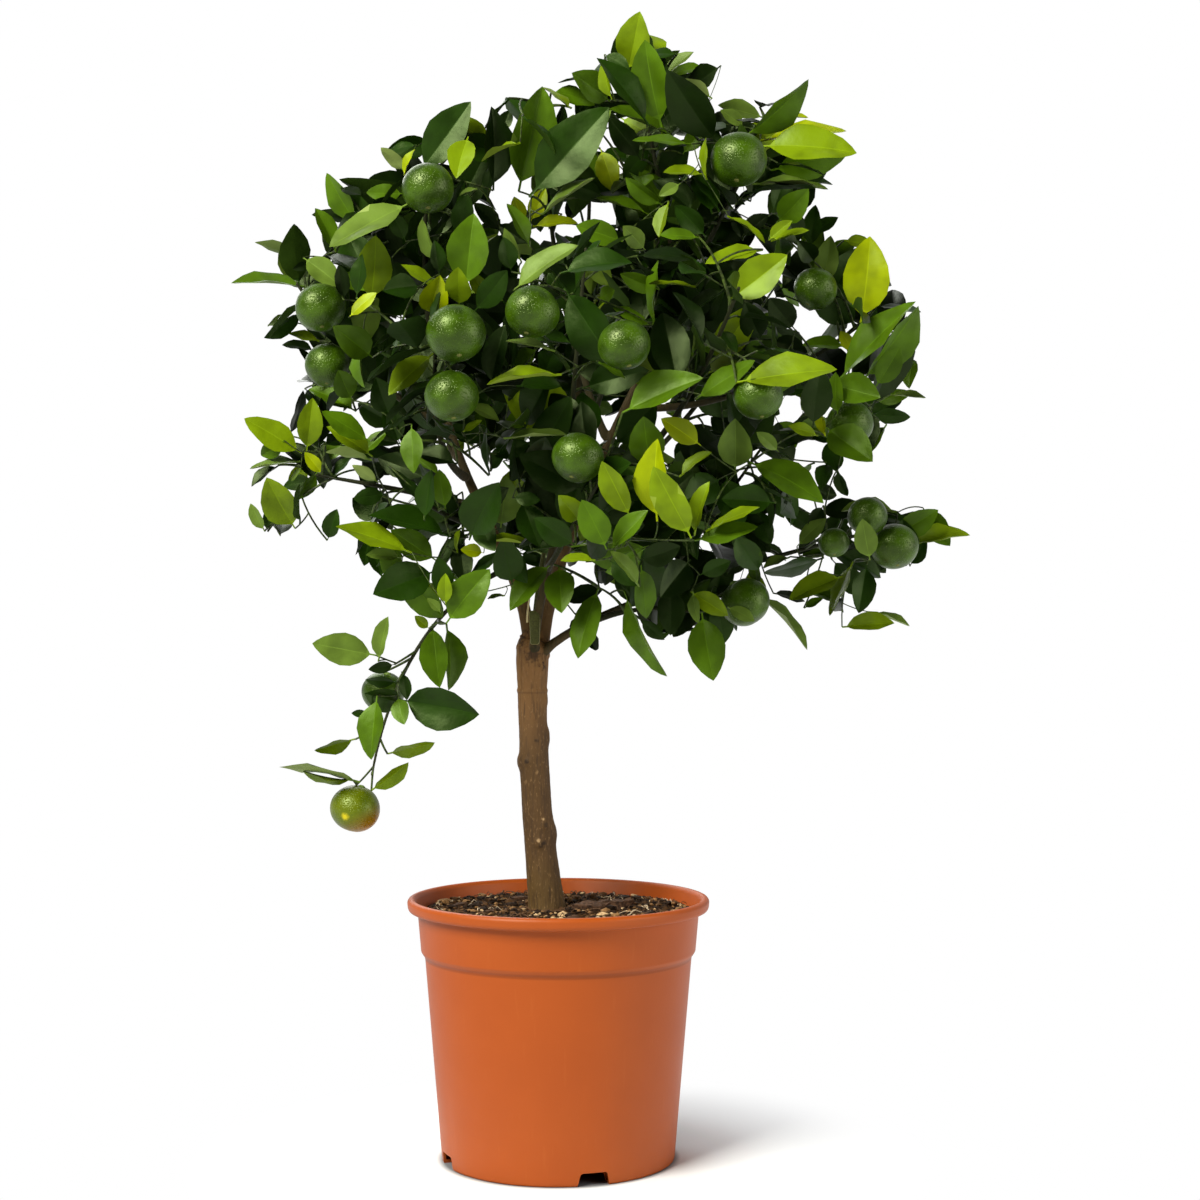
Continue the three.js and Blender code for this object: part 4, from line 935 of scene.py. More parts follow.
class Crown:
    """All that grows on the boughs, with the tests that keep it from running through itself."""

    most = 6000

    def __init__(self, boughs: dict[str, Bough]):
        """Collects the limbs that leaves and twigs have to keep clear of.

        Args:
            boughs: The boughs by name.
        """
        self.leaves: list[Leaf] = []
        self.twigs: list[Twig] = []
        self.fruits: list[Fruit] = []
        self.owners: list[str] = []
        self.face = Face()
        self.patches = np.zeros((Crown.most, 6, 3))
        self.middles = np.full((Crown.most, 3), 9.0)
        self.segments = np.zeros((0, 2, 3))
        limbs = [(trunk_radius, trunk_line(), np.linspace(0, 1, 26))]
        for bough in boughs.values():
            count = math.ceil(bough.curve.length() * bough.enters / 0.004)
            limbs.append((bough.radius, bough.curve, np.linspace(0, bough.enters, count)))
        self.balls, self.ball_radii = along_wood(limbs)

    def near_leaves(self, place: np.ndarray, distance: float) -> np.ndarray:
        """The patches of the leaves whose middles are near a place."""
        count = len(self.leaves)
        near = ((self.middles[:count] - place) ** 2).sum(1) < distance ** 2
        return self.patches[:count][near]

    def emptiness(self, places: np.ndarray) -> np.ndarray:
        """The distance from each place to the middle of the nearest leaf."""
        middles = self.middles[:max(1, len(self.leaves))]
        return np.sqrt(((places[:, None] - middles[None]) ** 2).sum(-1).min(1))

    def blocked(self, samples: np.ndarray, margin: float) -> bool:
        """Whether any sample point comes too near to a limb or a fruit."""
        near = ((self.balls - samples.mean(0)) ** 2).sum(1) < RULE.limb_reach ** 2
        distances = np.linalg.norm(samples[:, None] - self.balls[near][None], axis=-1)
        return bool((distances < self.ball_radii[near] + margin).any())

    def leaf_fits(self, patch: np.ndarray) -> bool:
        """Whether a leaf keeps clear of limbs, fruits, twigs and other leaves.

        Args:
            patch: The six points of the blade.

        Returns:
            Whether it does.
        """
        samples = PATCH_SAMPLES @ patch
        if self.blocked(samples[1:], RULE.clear):
            return False
        triangles = patch[PATCH_TRIANGLES]
        starts, ends = patch[PATCH_EDGES].transpose(1, 0, 2)
        others = self.near_leaves(samples[8], RULE.leaf_reach)
        if len(others):
            theirs = others[:, PATCH_TRIANGLES].reshape(-1, 3, 3)
            if len(piercings(starts, ends, theirs)):
                return False
            edges = others[:, PATCH_EDGES].reshape(-1, 2, 3)
            if len(piercings(edges[:, 0], edges[:, 1], triangles)):
                return False
        near = ((self.segments[:, 0] - samples[8]) ** 2).sum(-1) < RULE.twig_reach ** 2
        twigs = self.segments[near]
        meets = piercings(twigs[:, 0], twigs[:, 1], triangles)
        return not (np.linalg.norm(meets - patch[0], axis=-1) > RULE.joint).any()

    def add_leaf(self, leaf: Leaf, owner: str) -> None:
        """Takes a leaf into the crown.

        Args:
            leaf: The leaf.
            owner: The name of the mass it belongs to.
        """
        count = len(self.leaves)
        self.patches[count] = leaf.patch()
        self.middles[count] = leaf.root + leaf.along * leaf.length * 0.55
        self.face.cover(self.patches[count])
        self.leaves.append(leaf)
        self.owners.append(owner)

    def add_fruit(self, fruit: Fruit) -> None:
        """Takes a fruit into the crown, and keeps it uncovered if it hangs in front.

        Args:
            fruit: The fruit.
        """
        self.fruits.append(fruit)
        self.balls = np.concatenate([self.balls, fruit.centre[None]])
        self.ball_radii = np.append(self.ball_radii, fruit.radius)
        if fruit.centre[1] < 0:
            turns = np.linspace(0, 2 * math.pi, 12, endpoint=False)
            ring = np.stack([np.cos(turns), np.zeros(12), np.sin(turns)], 1)
            shares = np.concatenate([ring * 0.85, ring * 0.45, [[0, -1, 0]]])
            self.face.mark(fruit.centre + shares * fruit.radius)

    def twig_fits(self, curve: Limb, hidden: bool) -> bool:
        """Whether a twig keeps clear of limbs, fruits and leaves, and if need be of the face.

        Args:
            curve: The twig's middle line.
            hidden: Whether it keeps off the face.

        Returns:
            Whether it does.
        """
        points = curve.points(np.linspace(0, 1, 9))
        if self.blocked(points[1:], RULE.clear + RULE.twig_foot):
            return False
        if hidden and self.face.crossed(points):
            return False
        others = self.near_leaves(curve.point(0.5), RULE.shoot_reach)
        if not len(others):
            return True
        theirs = others[:, PATCH_TRIANGLES].reshape(-1, 3, 3)
        return not len(piercings(points[:-1], points[1:], theirs))

    def add_twig(self, twig: Twig) -> None:
        """Takes a twig into the crown.

        Args:
            twig: The twig.
        """
        points = twig.curve.points(np.linspace(0.02, 1, 7))
        segments = np.stack([points[:-1], points[1:]], axis=1)
        self.twigs.append(twig)
        self.segments = np.concatenate([self.segments, segments])

    def drop_twig(self) -> None:
        """Takes the last twig out of the crown again."""
        self.twigs.pop()
        self.segments = self.segments[:-6]


class Growth:
    """The foliage of one mass as it grows."""

    def __init__(self, crown: Crown, bough: Bough, seed: int):
        """Sets up the stem, which is the bough's own end inside the mass.

        Args:
            crown: The crown that it becomes part of.
            bough: The bough that bears it.
            seed: The seed of its chance.
        """
        self.crown = crown
        self.bough = bough
        self.space = bough.space
        self.random = random.Random(seed)
        self.dice = np.random.default_rng(seed)
        self.stem = Twig(bough.curve, bough.radius(bough.enters), bough.radius(1), Tint.DARK)
        self.limbs = [self.stem]
        self.paths = self.path(self.stem)
        crown.add_twig(Twig(Limb([bough.curve.point(s) for s in
                                  np.linspace(bough.enters, 1, 4)]), 0, 0, Tint.DARK))

    def path(self, twig: Twig) -> np.ndarray:
        """Points along the part of a twig that may bear something."""
        return twig.curve.points(np.linspace(self.first_share(twig), 1, 17))[None]

    def add_shoot(self, twig: Twig) -> None:
        """Takes a twig as one that may bear others."""
        self.crown.add_twig(twig)
        self.limbs.append(twig)
        self.paths = np.concatenate([self.paths, self.path(twig)])

    def drop_shoot(self) -> None:
        """Takes the last twig away again."""
        self.crown.drop_twig()
        self.limbs.pop()
        self.paths = self.paths[:-1]

    def near_limbs(self, place: np.ndarray) -> tuple[list[Twig], float]:
        """The few limbs nearest to a place, and the distance to the first."""
        gaps = np.linalg.norm(self.paths - place, axis=-1).min(1)
        order = np.argsort(gaps)[:RULE.parents]
        return [self.limbs[i] for i in order], float(gaps[order[0]])

    def tint(self, place: np.ndarray) -> Tint:
        """Deals a tint to a spray: deep in the crown a dark one, as painted shade.

        Args:
            place: Where the spray ends.

        Returns:
            The tint.
        """
        if Space.in_crown(place[None], RULE.deep)[0]:
            return self.random.choices((Tint.DEEP, Tint.DARK), (2, 1))[0]
        tints, shares = zip(*TINT_SHARES.items())
        return self.random.choices(tints, shares)[0]

    def outward(self, place: np.ndarray) -> np.ndarray:
        """The way out of the crown at a place."""
        return unit(place - np.array(RULE.heart))

    def facing_at(self, place: np.ndarray, along: np.ndarray, chance: np.ndarray) -> np.ndarray:
        """The way a leaf's upper side faces: up, outward and a little at random."""
        facing = (chance * RULE.face_chance + self.outward(place) * RULE.face_out
                  + UP * RULE.face_up)
        return square_to(facing, along)

    def chance(self) -> np.ndarray:
        """A direction picked by chance, up to length one each way."""
        return np.array([self.random.uniform(-1, 1) for _ in range(3)])

    def first_share(self, parent: Twig) -> float:
        """The lowest share of a parent that may bear something."""
        if parent is not self.stem:
            return RULE.first_leaf
        return self.bough.enters + (1 - self.bough.enters) * RULE.stem_foot

    def twig_to(self, end: np.ndarray, parents: Sequence[Twig], hidden: bool = False) -> Twig | None:
        """Grows a twig from one of its parents to a point.

        Args:
            end: The point to reach.
            parents: Twigs it may start from, the best first.
            hidden: Whether it has to keep off what the crown shows to the front.

        Returns:
            The twig, or None where none fits.
        """
        for parent in parents:
            low = self.first_share(parent)
            nearest = parent.curve.nearest(end, low)
            for back in RULE.backs:
                share = float(np.clip(nearest - back * (1 - low), low, RULE.stem_top))
                start = parent.curve.point(share)
                way = end - start
                length = float(np.linalg.norm(way))
                if not RULE.shortest_twig < length < RULE.longest_twig:
                    continue
                heading = parent.curve.tangent(share)
                angle = math.acos(float(np.clip(unit(way) @ heading, -1, 1)))
                if angle < RULE.fork and share < RULE.stem_top:
                    continue
                bow = start + way * 0.5 + (heading + UP * 0.4) * length * RULE.bow
                curve = Limb([start, bow, end])
                if self.space.room(curve.points(np.linspace(0.2, 1, 5))).min() < -RULE.stray:
                    continue
                if self.crown.twig_fits(curve, hidden):
                    foot = min(RULE.twig_foot, mix(parent.foot, parent.tip, share) * 0.8)
                    twig = Twig(curve, foot, min(foot, RULE.twig_tip), self.tint(end))
                    self.add_shoot(twig)
                    return twig
        return None

    def hang(self, centre: np.ndarray, radius: float) -> None:
        """Hangs a fruit by its stalk.

        Args:
            centre: The fruit's centre.
            radius: Its radius.
        """
        fruit = Fruit(centre, radius, UP)
        twig = self.twig_to(centre + UP * radius * 0.9, [self.stem])
        if twig is None:
            log.warning("no twig reaches the fruit at %s", np.round(centre / MM))
            return
        fruit.stalk = unit(mix(UP, -twig.curve.tangent(1), 0.35))
        self.crown.add_fruit(fruit)

    def reach_tip(self, tip: np.ndarray) -> None:
        """Grows a leaf that ends at a named tip, on the stem itself or on a shoot of its own.

        Args:
            tip: The place.
        """
        length = mix(LEAF.shortest, LEAF.longest, self.random.random())
        chance = self.chance()
        low = self.first_share(self.stem)
        nearest = self.stem.curve.nearest(tip, low)
        for back in RULE.slides:
            foot = self.stem.curve.point(float(np.clip(nearest - back, low, RULE.stem_top)))
            close = np.linalg.norm(foot - tip) < LEAF.longest
            if close and self.leaf_between(foot, tip, chance, self.stem.tint):
                return
        along = unit(tip - self.space.centre)
        for scale in RULE.shorter:
            root = tip - along * length * scale
            twig = self.twig_to(root + along * MM, [self.stem])
            if twig and self.leaf_between(root, tip, chance, twig.tint):
                self.dress(twig, True)
                return
            if twig:
                self.drop_shoot()

    def set_leaf(self, root: np.ndarray, tip: np.ndarray, breadth: float, turn: float, tint: Tint) -> bool:
        """Sets a leaf of the table on the nearest twig or on one of its own.

        Args:
            root: Where it is rooted.
            tip: Where it ends.
            breadth: Its greatest breadth.
            turn: How far its upper side is turned from facing the front, in radians.
            tint: Its tint.

        Returns:
            Whether a place was found for it, if need be a little nearer or farther away.
        """
        for depth in RULE.depths:
            scale = 1 + depth / (root[1] - EYE[1])
            foot, end = EYE + (root - EYE) * scale, EYE + (tip - EYE) * scale
            length = float(np.linalg.norm(end - foot))
            along = (end - foot) / length
            front = square_to(FORWARD, along)
            for roll in RULE.rolls[:3]:
                up = turned(front, along, turn + roll * 0.6)
                leaf = Leaf(foot, along, up, length, tint, breadth / length)
                if self.crown.leaf_fits(leaf.patch()):
                    self.bear(foot)
                    self.crown.add_leaf(leaf, self.bough.row.name)
                    self.crown.face.mark(PATCH_SAMPLES @ leaf.patch())
                    return True
        return False

    def bear(self, foot: np.ndarray, hidden: bool = False) -> None:
        """Makes sure that a twig comes to a place, straight through all else if need be.

        Args:
            foot: The place.
            hidden: Whether the twig keeps off the face if it can.
        """
        limbs, gap = self.near_limbs(foot)
        if gap < RULE.near or self.twig_to(foot, limbs, hidden):
            return
        start = limbs[0].curve.point(limbs[0].curve.nearest(foot, self.first_share(limbs[0])))
        bow = mix(start, foot, 0.5) + UP * 0.1 * float(np.linalg.norm(foot - start))
        self.add_shoot(Twig(Limb([start, bow, foot]), RULE.twig_foot, RULE.twig_tip, Tint.DARK))

    def leaf_between(self, root: np.ndarray, tip: np.ndarray, chance: np.ndarray, tint: Tint) -> bool:
        """Adds a leaf from a root to a tip, and says whether one fitted.

        Args:
            root: Where it is rooted.
            tip: Where it ends.
            chance: What turns it by chance.
            tint: Its tint.

        Returns:
            Whether one fitted.
        """
        chord = unit(tip - root)
        length = float(np.linalg.norm(tip - root))
        ups = (turned(self.facing_at(root, chord, chance), chord, roll) for roll in RULE.rolls)
        return any(self.add_leaf(Leaf(root, chord, up, length, tint), False) for up in ups)

    def cover(self, place: np.ndarray) -> bool:
        """Sets a leaf with its middle at a place, on a twig of its own.

        Args:
            place: The place, on a line of sight that is still open.

        Returns:
            Whether a leaf of any size fitted there.
        """
        tint = self.tint(place)
        for scale in RULE.covers:
            length = mix(LEAF.shortest, LEAF.longest, self.random.random()) * scale
            along = unit((self.outward(place) + self.chance() * 1.3) * np.array([1, 0.4, 1]))
            up = square_to(self.chance() * 0.6 + UP * 0.4 - UP[[0, 2, 1]], along)
            root = place - along * length * 0.5
            if self.add_leaf(Leaf(root, along, up, length, tint), True):
                self.bear(root, True)
                return True
        return False

    def spots(self) -> np.ndarray:
        """Places in the space, picked by chance.

        Returns:
            The places, one row each.
        """
        ways = unit(self.dice.normal(size=(RULE.spots, 3)))
        shares = 1.15 * self.dice.random((RULE.spots, 1)) ** (1 / 3)
        places = self.space.centre + ways * shares * self.space.sides
        return places[(self.space.room(places) > 0) & Space.in_crown(places, RULE.farthest)]

    def fill(self) -> bool:
        """Grows a shoot into the emptiest place that a twig can reach.

        Returns:
            Whether there may be room for another.
        """
        spots = self.spots()
        empty = self.crown.emptiness(spots)
        for index in np.argsort(-empty)[:RULE.most_spots]:
            if empty[index] < RULE.crowded:
                return False
            limbs, _ = self.near_limbs(spots[index])
            twig = self.twig_to(spots[index], limbs, True)
            if twig and self.dress(twig):
                return True
            if twig:
                self.drop_shoot()
        return True

    def dress(self, twig: Twig, ended: bool = False) -> bool:
        """Sets leaves along the last twig, each turned on from the one before, and one at its end.

        Args:
            twig: The twig.
            ended: Whether a leaf stands at its end already.

        Returns:
            Whether any leaf found a place.
        """
        ended = ended or self.leaf_on(twig, 1, 0, True)
        count = max(1, round(twig.curve.length() / RULE.spacing))
        turn = self.random.uniform(0, 2 * math.pi)
        last = 0.0
        for i in range(count):
            share = mix(RULE.first_leaf, 1, (i + 0.5) / count)
            if self.leaf_on(twig, share, turn + i * RULE.turn, False):
                last = share
        if last and not ended:
            self.shorten(last)
        return ended or last > 0

    def shorten(self, share: float) -> None:
        """Cuts the last twig off above a share of it.

        Args:
            share: The share.
        """
        twig = self.limbs[-1]
        start, bow, _ = twig.curve.controls
        curve = Limb([start, mix(start, bow, share), twig.curve.point(share)])
        self.drop_shoot()
        self.add_shoot(Twig(curve, twig.foot, mix(twig.foot, twig.tip, share), twig.tint))

    def dress_stem(self) -> None:
        """Sets leaves straight on the stem."""
        low = self.first_share(self.stem)
        count = max(3, round(self.stem.curve.length() * (1 - low) / RULE.spacing / 1.5))
        turn = self.random.uniform(0, 2 * math.pi)
        for i in range(count):
            self.leaf_on(self.stem, mix(low, 1, (i + 0.5) / count), turn + i * RULE.turn, False)
        self.leaf_on(self.stem, 1, 0, True)

    def leaf_on(self, twig: Twig, share: float, turn: float, ends: bool) -> bool:
        """Sets one leaf on a twig, tried at several sizes and turns.

        Args:
            twig: The twig that bears it.
            share: Where on the twig.
            turn: The angle round the twig.
            ends: Whether the leaf ends the twig.

        Returns:
            Whether it found a place.
        """
        root = twig.curve.point(share)
        heading = twig.curve.tangent(share)
        across = unit(np.cross(np.array(RULE.askew), heading))
        size = mix(LEAF.shortest, LEAF.longest, self.random.random())
        jitter = (self.random.random() - 0.5) * RULE.unsteady
        chance = self.chance()
        lean = RULE.end_lean if ends else mix(RULE.lean[0], RULE.lean[1], share) + jitter
        for scale, extra in RULE.tries:
            aside = turned(across, heading, turn + extra)
            along = unit(aside * math.sin(lean) + heading * math.cos(lean)
                         + self.outward(root) * RULE.outward)
            up = self.facing_at(root, along, chance)
            if self.add_leaf(Leaf(root, along, up, size * scale, twig.tint), True):
                return True
        return False

    def add_leaf(self, leaf: Leaf, inside: bool) -> bool:
        """Adds a leaf if it fits, and says whether it did.

        Args:
            leaf: The leaf.
            inside: Whether it has to stay in the crown and off the face.

        Returns:
            Whether it fitted.
        """
        patch = leaf.patch()
        if self.space.room(patch[1:]).min() < -RULE.stray:
            return False
        if inside and (not Space.in_crown(patch[1:], RULE.inner).all() or self.crown.face.spoils(patch)):
            return False
        if not self.crown.leaf_fits(patch):
            return False
        self.crown.add_leaf(leaf, self.bough.row.name)
        return True


def close_up(crown: Crown, growths: Sequence[Growth]) -> None:
    """Sets leaves deep in the crown on the lines of sight that nothing closes yet.

    Args:
        crown: The crown.
        growths: The growth of each mass, in the order of the table.
    """
    dice = np.random.default_rng(3)
    for low, high in RULE.layers * 2:
        for i, j in dice.permutation(np.argwhere(crown.face.open)):
            across, rise = crown.face.lines[i, j]
            depth = dice.uniform(low, high) - EYE[1]
            place = EYE + depth * np.array([across, 1, rise])
            growth = growths[Space.holding(place)]
            wanted = crown.face.open[i, j] and growth.bough.row.shoots
            if wanted and Space.in_crown(place[None], RULE.closed)[0]:
                growth.cover(place)


def grow_crown(boughs: dict[str, Bough]) -> Crown:
    """Grows twigs, leaves and fruits on all boughs.

    Args:
        boughs: The boughs by name.

    Returns:
        The full crown.
    """
    crown = Crown(boughs)
    growths = [Growth(crown, bough, 100 + i) for i, bough in enumerate(boughs.values())]
    for x, y, z, radius in FRUITS:
        centre = metres([x, y, z])
        growths[Space.holding(centre)].hang(centre, radius * MM)
    lost = 0
    for tint, rows in FACE_LEAVES.items():
        for row in rows:
            root, tip, breadth, angle = VIEW.leaf(row)
            growth = growths[Space.holding(root)]
            lost += not growth.set_leaf(root, tip, breadth, math.radians(angle), tint)
    log.info("%d leaves of the face found no place", lost)
    ends = np.array([leaf.root + leaf.along * leaf.length for leaf in crown.leaves])
    for growth in growths:
        for tip in growth.bough.row.tips:
            place = metres(tip)
            if np.linalg.norm((ends - place)[:, [0, 2]], axis=1).min() > RULE.same_tip:
                growth.reach_tip(place)
    growing = [growth for growth in growths if growth.bough.row.shoots]
    for growth in growing:
        growth.dress_stem()
    close_up(crown, growths)
    log.info("%d leaves before the filling, %d lines open", len(crown.leaves), crown.face.open.sum())
    for turn in range(max(row.shoots for row in MASSES)):
        growing = [g for g in growing if turn < g.bough.row.shoots and g.fill()]
    return crown


# ---------------------------------------------------------------- shaders


class Signal:
    """A number that changes over a surface. Sums of it become Math nodes."""

    def __init__(self, shader: Shader, socket: bpy.types.NodeSocket):
        """Wraps a socket of a shader."""
        self.shader = shader
        self.socket = socket

    def _join(self, operation: str, *values: Any, clamp: bool = False) -> Signal:
        """Adds a Math node on these values."""
        settings = {"operation": operation, "use_clamp": clamp}
        node = self.shader.node("ShaderNodeMath", settings, dict(enumerate(values)))
        return Signal(self.shader, node.outputs[0])

    def __add__(self, other: Signal | float) -> Signal:
        """Adds."""
        return self._join("ADD", self, other)

    def __sub__(self, other: Signal | float) -> Signal:
        """Subtracts."""
        return self._join("SUBTRACT", self, other)

    def __rsub__(self, other: float) -> Signal:
        """Subtracts from a number."""
        return self._join("SUBTRACT", other, self)

    def __mul__(self, other: Signal | float) -> Signal:
        """Multiplies."""
        return self._join("MULTIPLY", self, other)

    __radd__ = __add__
    __rmul__ = __mul__

    def step(self, low: float, high: float) -> Signal:
        """Goes smoothly from 0 at low to 1 at high."""
        node = self.shader.node("ShaderNodeMapRange", {"interpolation_type": "SMOOTHSTEP"},
                                {"Value": self, "From Min": low, "From Max": high})
        return Signal(self.shader, node.outputs[0])


class Nodes:
    """A tree of nodes that is being made."""

    def __init__(self, owner: bpy.types.Material | bpy.types.World):
        """Turns on the nodes of a material or a world."""
        owner.use_nodes = True
        self.tree = owner.node_tree

    def node(self, kind: str, settings: dict[str, Any] | None = None,
             inputs: dict[Any, Any] | None = None) -> bpy.types.Node:
        """Adds a node.

        Args:
            kind: The node's type.
            settings: Its own settings, set first.
            inputs: Values or links of its sockets, by name or number.

        Returns:
            The node.
        """
        node = self.tree.nodes.new(kind)
        for name, value in (settings or {}).items():
            setattr(node, name, value)
        for key, value in (inputs or {}).items():
            self.feed(node.inputs[key], value)
        return node

    def feed(self, socket: bpy.types.NodeSocket, value: Any) -> None:
        """Links a value to a socket, or sets the socket to it.

        Args:
            socket: The socket.
            value: A link, a signal, a number or a colour.
        """
        if isinstance(value, Signal):
            value = value.socket
        if isinstance(value, bpy.types.NodeSocket):
            self.tree.links.new(value, socket)
        elif socket.type == "RGBA" and len(value) == 3:
            socket.default_value = (*value, 1)
        else:
            socket.default_value = value


class Shader(Nodes):
    """A material that is being made."""

    def __init__(self, name: str):
        """Starts a material with its surface shader.

        Args:
            name: The material's name.
        """
        self.material = bpy.data.materials.new(name)
        super().__init__(self.material)
        self.surface = self.tree.nodes["Principled BSDF"]
        self.output = self.tree.nodes["Material Output"]

    def place(self, stretch: Triple = (1, 1, 1)) -> bpy.types.NodeSocket:
        """Object coordinates, in metres, times a stretch."""
        coordinates = self.node("ShaderNodeTexCoord").outputs["Object"]
        return self.node("ShaderNodeMapping", {},
                         {"Vector": coordinates, "Scale": stretch}).outputs[0]

    def noise(self, size: float, detail: float = 2, stretch: Triple = (1, 1, 1)) -> Signal:
        """Soft noise with spots of a size in metres."""
        node = self.node("ShaderNodeTexNoise", {}, {
            "Vector": self.place(stretch), "Scale": 1 / size, "Detail": detail})
        return Signal(self, node.outputs[0])

    def cells(self, size: float, stretch: Triple = (1, 1, 1)) -> Signal:
        """The distance to the middle of the nearest of many cells of a size in metres."""
        node = self.node("ShaderNodeTexVoronoi", {}, {
            "Vector": self.place(stretch), "Scale": 1 / size})
        return Signal(self, node.outputs[0])

    def coordinate(self, axis: int) -> Signal:
        """The object coordinate along an axis, in metres."""
        coordinates = self.node("ShaderNodeTexCoord").outputs["Object"]
        node = self.node("ShaderNodeSeparateXYZ", {}, {0: coordinates})
        return Signal(self, node.outputs[axis])

    def height(self) -> Signal:
        """The height above the pot's foot, in metres."""
        return self.coordinate(2)

    def spot(self, place: Triple, size: float, ragged: float = 2.0) -> Signal:
        """1 at a place in millimetres, and 0 past a distance from it.

        Args:
            place: Its middle, in millimetres.
            size: The distance, in millimetres.
            ragged: How ragged its edge is.

        Returns:
            The signal.
        """
        coordinates = self.node("ShaderNodeTexCoord").outputs["Object"]
        middle = tuple(number * MM for number in place)
        node = self.node("ShaderNodeVectorMath", {"operation": "DISTANCE"}, {0: coordinates, 1: middle})
        distance = Signal(self, node.outputs["Value"]) + (self.noise(0.003, 3) - 0.5) * size * ragged * MM
        return 1 - distance.step(size * 0.15 * ragged * MM, size * MM)

    def attribute(self, name: str) -> Signal:
        """A number that the mesh holds for each of its points."""
        node = self.node("ShaderNodeAttribute", {"attribute_name": name})
        return Signal(self, node.outputs["Fac"])

    def mix(self, factor: Signal | float, first: Any, second: Any) -> bpy.types.NodeSocket:
        """Mixes two colours."""
        node = self.node("ShaderNodeMix", {"data_type": "RGBA"}, {0: factor, 6: first, 7: second})
        return node.outputs[2]

    def bump(self, height: Signal, depth: float) -> None:
        """Raises the surface by a height of 0 to 1 times a depth in metres."""
        node = self.node("ShaderNodeBump", {}, {"Height": height, "Distance": depth})
        self.feed(self.surface.inputs["Normal"], node.outputs[0])

    def finish(self, **sockets: Any) -> bpy.types.Material:
        """Feeds the surface shader's sockets, with _ for each space in a name.

        Returns:
            The material.
        """
        for name, value in sockets.items():
            self.feed(self.surface.inputs[name.replace("_", " ")], value)
        return self.material


def srgb(red: int, green: int, blue: int) -> Colour:
    """Turns a colour of 0 to 255 a channel into linear light."""
    shares = (level / 255 for level in (red, green, blue))
    return tuple(s / 12.92 if s <= 0.04045 else ((s + 0.055) / 1.055) ** 2.4 for s in shares)


def shade(colour: Colour, factor: float) -> Colour:
    """Makes a colour lighter or darker."""
    return tuple(min(1.0, level * factor) for level in colour)


# ---------------------------------------------------------------- finishes


@dataclass(frozen=True)
class LeafFinish:
    """The finish of one side of leaves of one tint."""

    name: str
    colour: Colour
    roughness: float
    variety: float = 0.26
    veins: float = 0.0001
    gloss: float = 0.27
    sheen: Colour = (0.72, 1.0, 0.4)

    def build(self) -> bpy.types.Material:
        """Makes the material: soft light and dark spots, side veins and a glossy skin.

        Returns:
            The material.
        """
        shader = Shader(self.name)
        patches = shader.noise(0.016, 2)
        base = shader.mix((patches * 0.6 + shader.noise(0.05) * 0.4).step(0.35, 0.65),
                          shade(self.colour, 1 - self.variety), shade(self.colour, 1 + self.variety))
        shader.bump(shader.noise(0.005, 2) * 0.5 + patches, self.veins * 4)
        return shader.finish(Base_Color=base, Roughness=shader.noise(0.012) * 0.16 + self.roughness,
                             Specular_IOR_Level=self.gloss, Specular_Tint=self.sheen)


@dataclass(frozen=True)
class BarkFinish:
    """The bark of the trunk and boughs, which turns green with youth."""

    low: Colour = srgb(82, 59, 30)
    high: Colour = srgb(128, 92, 52)
    mossy: Colour = srgb(94, 73, 36)
    groove: Colour = srgb(52, 36, 20)
    fleck: Colour = srgb(160, 126, 84)
    scar: Colour = srgb(30, 20, 11)
    pale: Colour = srgb(176, 146, 104)
    young: Colour = srgb(36, 40, 14)
    # place and size in millimetres of each dark eye, and of each pale one. The dark eyes mark knots; the
    # largest, just below the cut shoot in the fork, is partly painted shade beneath the shoot.
    eyes: tuple[tuple[Triple, float], ...] = (
        ((-21.6, -9.5, 275.5), 2.6), ((-8.5, -10.5, 232.5), 2.6), ((-10.5, -11, 219), 3.2),
        ((-27, -4, 362), 8), ((-8, -9, 342), 5), ((-4, -6, 292), 4), ((-15, -10, 290), 2.2),
        ((-17, -13, 350), 10), ((-10, -11, 296), 3))
    pales: tuple[tuple[Triple, float], ...] = (((-13.5, -11.5, 221.8), 2.4), ((-10, -11, 236), 1.8))

    def build(self) -> bpy.types.Material:
        """Makes the material: fine upright grooves, pale flecks, knots' eyes (the largest partly painted
        shade under the cut shoot) and a ring.

        Returns:
            The material.
        """
        shader = Shader("bark")
        grooves = shader.noise(0.0019, 5, (1, 1, 0.1))
        flecks = shader.noise(0.0013, 4, (1, 1, 0.4))
        broad = shader.noise(0.015, 3, (1, 1, 0.4))
        height = shader.height()
        base = shader.mix((height + broad * 0.03).step(0.29, 0.36), self.low, self.high)
        base = shader.mix((1 - height.step(0.178, 0.225)) * 0.6, base, self.mossy)
        base = shader.mix((1 - grooves.step(0.3, 0.5)) * 0.6, base, self.groove)
        base = shader.mix(broad.step(0.5, 0.7) * 0.3, base, self.groove)
        base = shader.mix(flecks.step(0.56, 0.74) * 0.4, base, self.fleck)
        ring = height.step(0.3222, 0.3230) - height.step(0.3234, 0.3242)
        # dark eyes of knots and a dark line at the ring; the largest eye, below the cut shoot, is partly
        # painted shade
        dark = sum((shader.spot(*eye) for eye in self.eyes), ring * 0.3) * 0.75
        base = shader.mix(dark, base, self.scar)
        base = shader.mix(sum(shader.spot(*eye) for eye in self.pales) * 0.8, base, self.pale)
        base = shader.mix(shader.attribute("youth"), base, self.young)
        shader.bump(grooves * 0.7 + flecks * 0.3, 0.0009)
        return shader.finish(Base_Color=base, Roughness=grooves * 0.2 + 0.62, Specular_IOR_Level=0.25)


